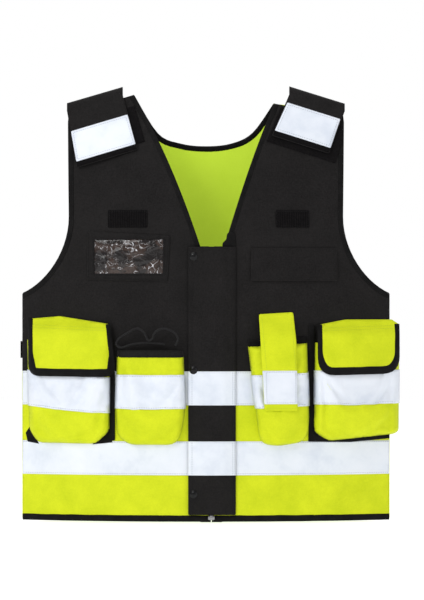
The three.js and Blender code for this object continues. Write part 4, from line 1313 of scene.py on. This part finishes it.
# Edge tapes and corners on the pockets' seams
EDGE_TAPES = {
    "right_cargo_edge": ([(-137.6, 120), (-137.6, 222)], 8, "right"),
    "left_cargo_edge": ([(155.5, 119), (155.5, 290)], 9, "left"),
}
for name, (line, wide, hand) in EDGE_TAPES.items():
    x = line[0][0]
    strip = box_outline(x - wide / 2, x + wide / 2, line[0][1], line[1][1])
    tape = cut_sheet(FRONTS[hand], rounded(strip, 1.5), 3.0,
                     lambda x, z: 1.5 + 0.5 * (1 + ripple(x, z, 61, 14, 20)))
    cloth(name, tape, EDGE, thick=0.9)
    for side in (-1, 1):
        x_row = x + side * (wide / 2 - 1.3)
        stitch(tape, [(x_row, line[0][1] + 2), (x_row, line[1][1] - 2)], lift=0.65)
FEET = {
    "right_cargo_corner_outer": ("right", [(-267, 130), (-264, 117), (-247, 114), (-261, 139)]),
    "right_cargo_corner_inner": ("right", [(-167, 114), (-138, 117), (-136, 135), (-143, 137)]),
    "left_cargo_foot": ("left", [(151, 130), (151, 118), (213, 117), (277, 122), (287, 129), (284, 134),
                                 (277, 131), (181, 122), (162, 136)]),
}
for name, (hand, outline) in FEET.items():
    trim = cut_sheet(FRONTS[hand], outline, 3.0, 1.0)
    cloth(name, trim, EDGE, thick=0.8)

# ---- Cargo flaps -----------------------------------------------------------------------------

FLAP_RAMP = 26
CARGO_FLAPS = {
    "right": {
        "pocket": "right_cargo", "radius": 17, "row": [(-260, 286), (-141, 281)],
        "corners": [(-263, 299), (-262, 215.5), (-133.5, 214.5), (-141, 291)], "crown": [(-216, 303)]},
    "left": {
        "pocket": "left_cargo", "radius": 25, "row": [(170, 281), (285, 285)],
        "corners": [(165, 290), (166, 216.5), (286.5, 219), (286.5, 291)],
        "crown": [(276, 298), (206, 298)]},
}


def flap_binding(x, z):
    return 6.5 + 4 * smooth((252 - z) / 26)


for hand, flap in CARGO_FLAPS.items():
    face = POCKETS[flap["pocket"]]["face"]
    corners = flap["corners"]
    bound = [corners[0], *rounded(corners, flap["radius"], 6)[7:21], corners[-1]]
    outline = bound + flap["crown"]
    high = span(outline)[3]

    def offset(x, z, face=face, high=high, hand=hand):
        over = smooth((high - z) / FLAP_RAMP)
        rolling = 0.9 * (0.6 + ripple(x, z, 71 + HANDS[hand], 42, 36)) * over
        sag = 1.2 * smooth((250 - z) / 34) * crease(x, z, 75 + HANDS[hand], 0.6, 70, 24)
        return POCKET_BACK - 0.6 + (face(x, z) + 2.6 - POCKET_BACK) * over + rolling + sag

    sheet = Sheet(outline, on_body(FRONT, offset), 3.6)
    body = f"{hand}_cargo_flap"
    bend_below(body, (corners[0][0] + corners[-1][0]) / 2 * MM, 0, high - 1, 0.012)
    cloth(body, sheet, LIME, body, thick=0.9, held="laid")
    edge = Shape()
    bind_edge(edge, sheet, bound, flap_binding, thick=1.4, seed=HANDS[hand] + 9)
    edge.piece(f"{body}_binding", EDGE, body)
    stitch(sheet, shifted(resampled(bound, 8), 5.2)[2:-2], body, lift=1.6)
    stitch(sheet, flap["row"], body, "lime", lift=0.6)
    stitch(sheet, [(x, z + 4) for x, z in flap["row"]], body, "lime", lift=0.6)

# ---- Radio strap -----------------------------------------------------------------------------

RADIO_STRAP = [(86, 164), (135, 164), (133, 265), (128.5, 309), (78, 306)]
RADIO_PATCH = [(85.6, 174), (134.6, 174), (133.7, 223), (83, 223)]


def radio_offset(x, z):
    over = smooth((309 - z) / 40)
    on_pocket = RADIO["face"](106, min(z, 264)) + 2.6
    rolling = 0.6 * ripple(x, z, 81, 28, 30) * over
    return POCKET_BACK - 0.3 + (on_pocket - POCKET_BACK) * over + rolling


radio = Sheet(rounded(RADIO_STRAP, 3), on_body(FRONT, radio_offset), 3.4)
bend_below("radio_strap", 0.105, 0, 307, 0.014)
cloth("radio_strap", radio, LIME, "radio_strap", thick=0.9, held="laid")
patch = cut_sheet(radio, rounded(RADIO_PATCH, 1), 3.4, 0.85)
cloth("radio_strap_patch", patch, SILVER, "radio_strap", thick=0.4)
patch_row = [(88.5, 221), (89.5, 176), (131.8, 176), (131.3, 221), (88.5, 221)]
stitch(radio, patch_row, "radio_strap", "grey", lift=1.2)
stitch(radio, [(89, 167.5), (132, 167.5)], "radio_strap", "lime", lift=0.6)
for x_low, x_high in ((89.2, 82), (131.8, 125.5)):
    stitch(radio, [(x_low, 226), (x_high, 302)], "radio_strap", "lime", lift=0.6)

# ---- Drawcord, side tabs ---------------------------------------------------------------------

CORD_RADIUS = 1.5
CORD_ROUTE = [
    (-60, 262), (-84, 264), (-108, 262), (-124, 257), (-132, 262), (-127, 271), (-113, 280), (-101, 285),
    (-91, 279), (-85, 268), (-79, 270), (-75, 279), (-64, 285), (-49, 281), (-41, 271), (-45, 260),
]
CORD_RISE = 0.45                 # from one knot of the route to the next
route = [world(x, -(GAP + bow(x, z) + POCKET_BACK + 7 + k / 8 * CORD_RISE), z)
         for k, (x, z) in enumerate(spline(CORD_ROUTE, 8))]


def tube_along(shape, path, radius, count=12):
    """A round tube, its section carried along the path without twisting."""
    rings, uvs = [], []
    along = 0.0
    side = None
    for i, here in enumerate(path):
        ahead = (path[min(i + 1, len(path) - 1)] - path[max(i - 1, 0)]).normalized()
        side = (side - ahead * side.dot(ahead)).normalized() if side else ahead.orthogonal().normalized()
        other = ahead.cross(side)
        along += (here - path[i - 1]).length if i else 0
        rings.append(circle(here, side, other, radius, count))
        uvs.append([(k / count * 2 * math.pi * radius * MM, along) for k in range(count)])
    shape.tube(rings, uvs=uvs)
    return along


cord = Shape()
cord_length = tube_along(cord, route, CORD_RADIUS)
drawcord = cord.piece("drawcord", CORD)

for hand, handed in HANDS.items():
    left, right = sorted([handed * (HALF_WIDTH + 3.5), handed * 240])
    tab = Sheet(box_outline(left, right, 241, 266), on_body(BACK, ON_PANEL + 0.6), 3.0)
    cloth(f"side_tab_{hand}", tab, PILE, thick=1.3)
    inner, outer = handed * 243, handed * 265
    stitch(tab, [(inner, 243), (inner, 264), (outer, 264), (outer, 243), (inner, 243)], lift=0.9)

# ---- Every piece to its body, those of the bodies in BLENDS baked in place instead -----------

for (body, thread), shape in SEAMS.items():
    shape.piece(f"stitches_{thread}_{body}", THREADS[thread], body)
for piece, body in PIECES:
    if body in BLENDS:
        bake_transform(piece)
    else:
        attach(piece, body.split()[0])

# ---- Floor, light and camera -----------------------------------------------------------------

def pale_floor():
    """A round floor under the hem."""
    material = bpy.data.materials.new("pale_floor")
    material.use_nodes = True
    shader = material.node_tree.nodes["Principled BSDF"]
    shader.inputs["Base Color"].default_value = (0.5, 0.5, 0.5, 1)
    shader.inputs["Roughness"].default_value = 0.9
    shader.inputs["Emission Color"].default_value = (1, 1, 1, 1)
    shader.inputs["Emission Strength"].default_value = 0.8
    rim = [(9 * math.cos(a), 9 * math.sin(a), HEM_LEVEL - 0.002) for a in np.arange(64) * math.pi / 32]
    mesh = bpy.data.meshes.new("floor")
    mesh.from_pydata(rim, [], [tuple(range(64))])
    mesh.materials.append(material)
    made = bpy.data.objects.new("floor", mesh)
    bpy.context.scene.collection.objects.link(made)
    return made


def area_light(name, place, target, size, power, colour=(1, 1, 1)):
    lamp = bpy.data.lights.new(name, "AREA")
    lamp.shape = "RECTANGLE"
    lamp.size, lamp.size_y = size
    lamp.energy = power
    lamp.color = colour
    made = bpy.data.objects.new(name, lamp)
    made.location = place
    made.rotation_euler = (Vector(target) - Vector(place)).to_track_quat("-Z", "Y").to_euler()
    bpy.context.scene.collection.objects.link(made)
    return made


middle = Vector((0.009, 0, HEM_LEVEL + 0.327))
lights = [
    area_light("key", (-2.0, -2.4, 1.7), middle, (1.5, 1.5), 52),
    area_light("fill", (2.2, -2.8, 0.3), middle, (2.0, 2.4), 16),
    area_light("top", (0.2, -0.2, 2.4), middle, (2.4, 1.6), 18),
    area_light("behind", (0.0, 2.6, 1.5), middle, (2.6, 1.6), 40),
]
pale_floor()

WORLD_LIGHT = 0.5
sky = bpy.data.worlds.new("studio")
sky.use_nodes = True
background = sky.node_tree.nodes["Background"]
background.inputs["Color"].default_value = (1, 1, 1, 1)
seen = sky.node_tree.nodes.new("ShaderNodeLightPath").outputs["Is Camera Ray"]
strength = sky.node_tree.nodes.new("ShaderNodeMapRange")
strength.inputs["To Min"].default_value = WORLD_LIGHT
sky.node_tree.links.new(seen, strength.inputs["Value"])
sky.node_tree.links.new(strength.outputs[0], background.inputs["Strength"])
bpy.context.scene.world = sky
bpy.context.scene.view_settings.view_transform = "Standard"

PHOTO_FIELD = 0.888              # height of the view at the vest, in metres
lens = bpy.data.cameras.new("camera")
lens.lens = 300
lens.sensor_width = 36
lens.clip_end = 50
camera = bpy.data.objects.new("camera", lens)
camera.location = (middle.x, -0.03 - PHOTO_FIELD * lens.lens / lens.sensor_width, middle.z)
camera.rotation_euler = (math.pi / 2, 0, 0)
bpy.context.scene.collection.objects.link(camera)
bpy.context.scene.camera = camera
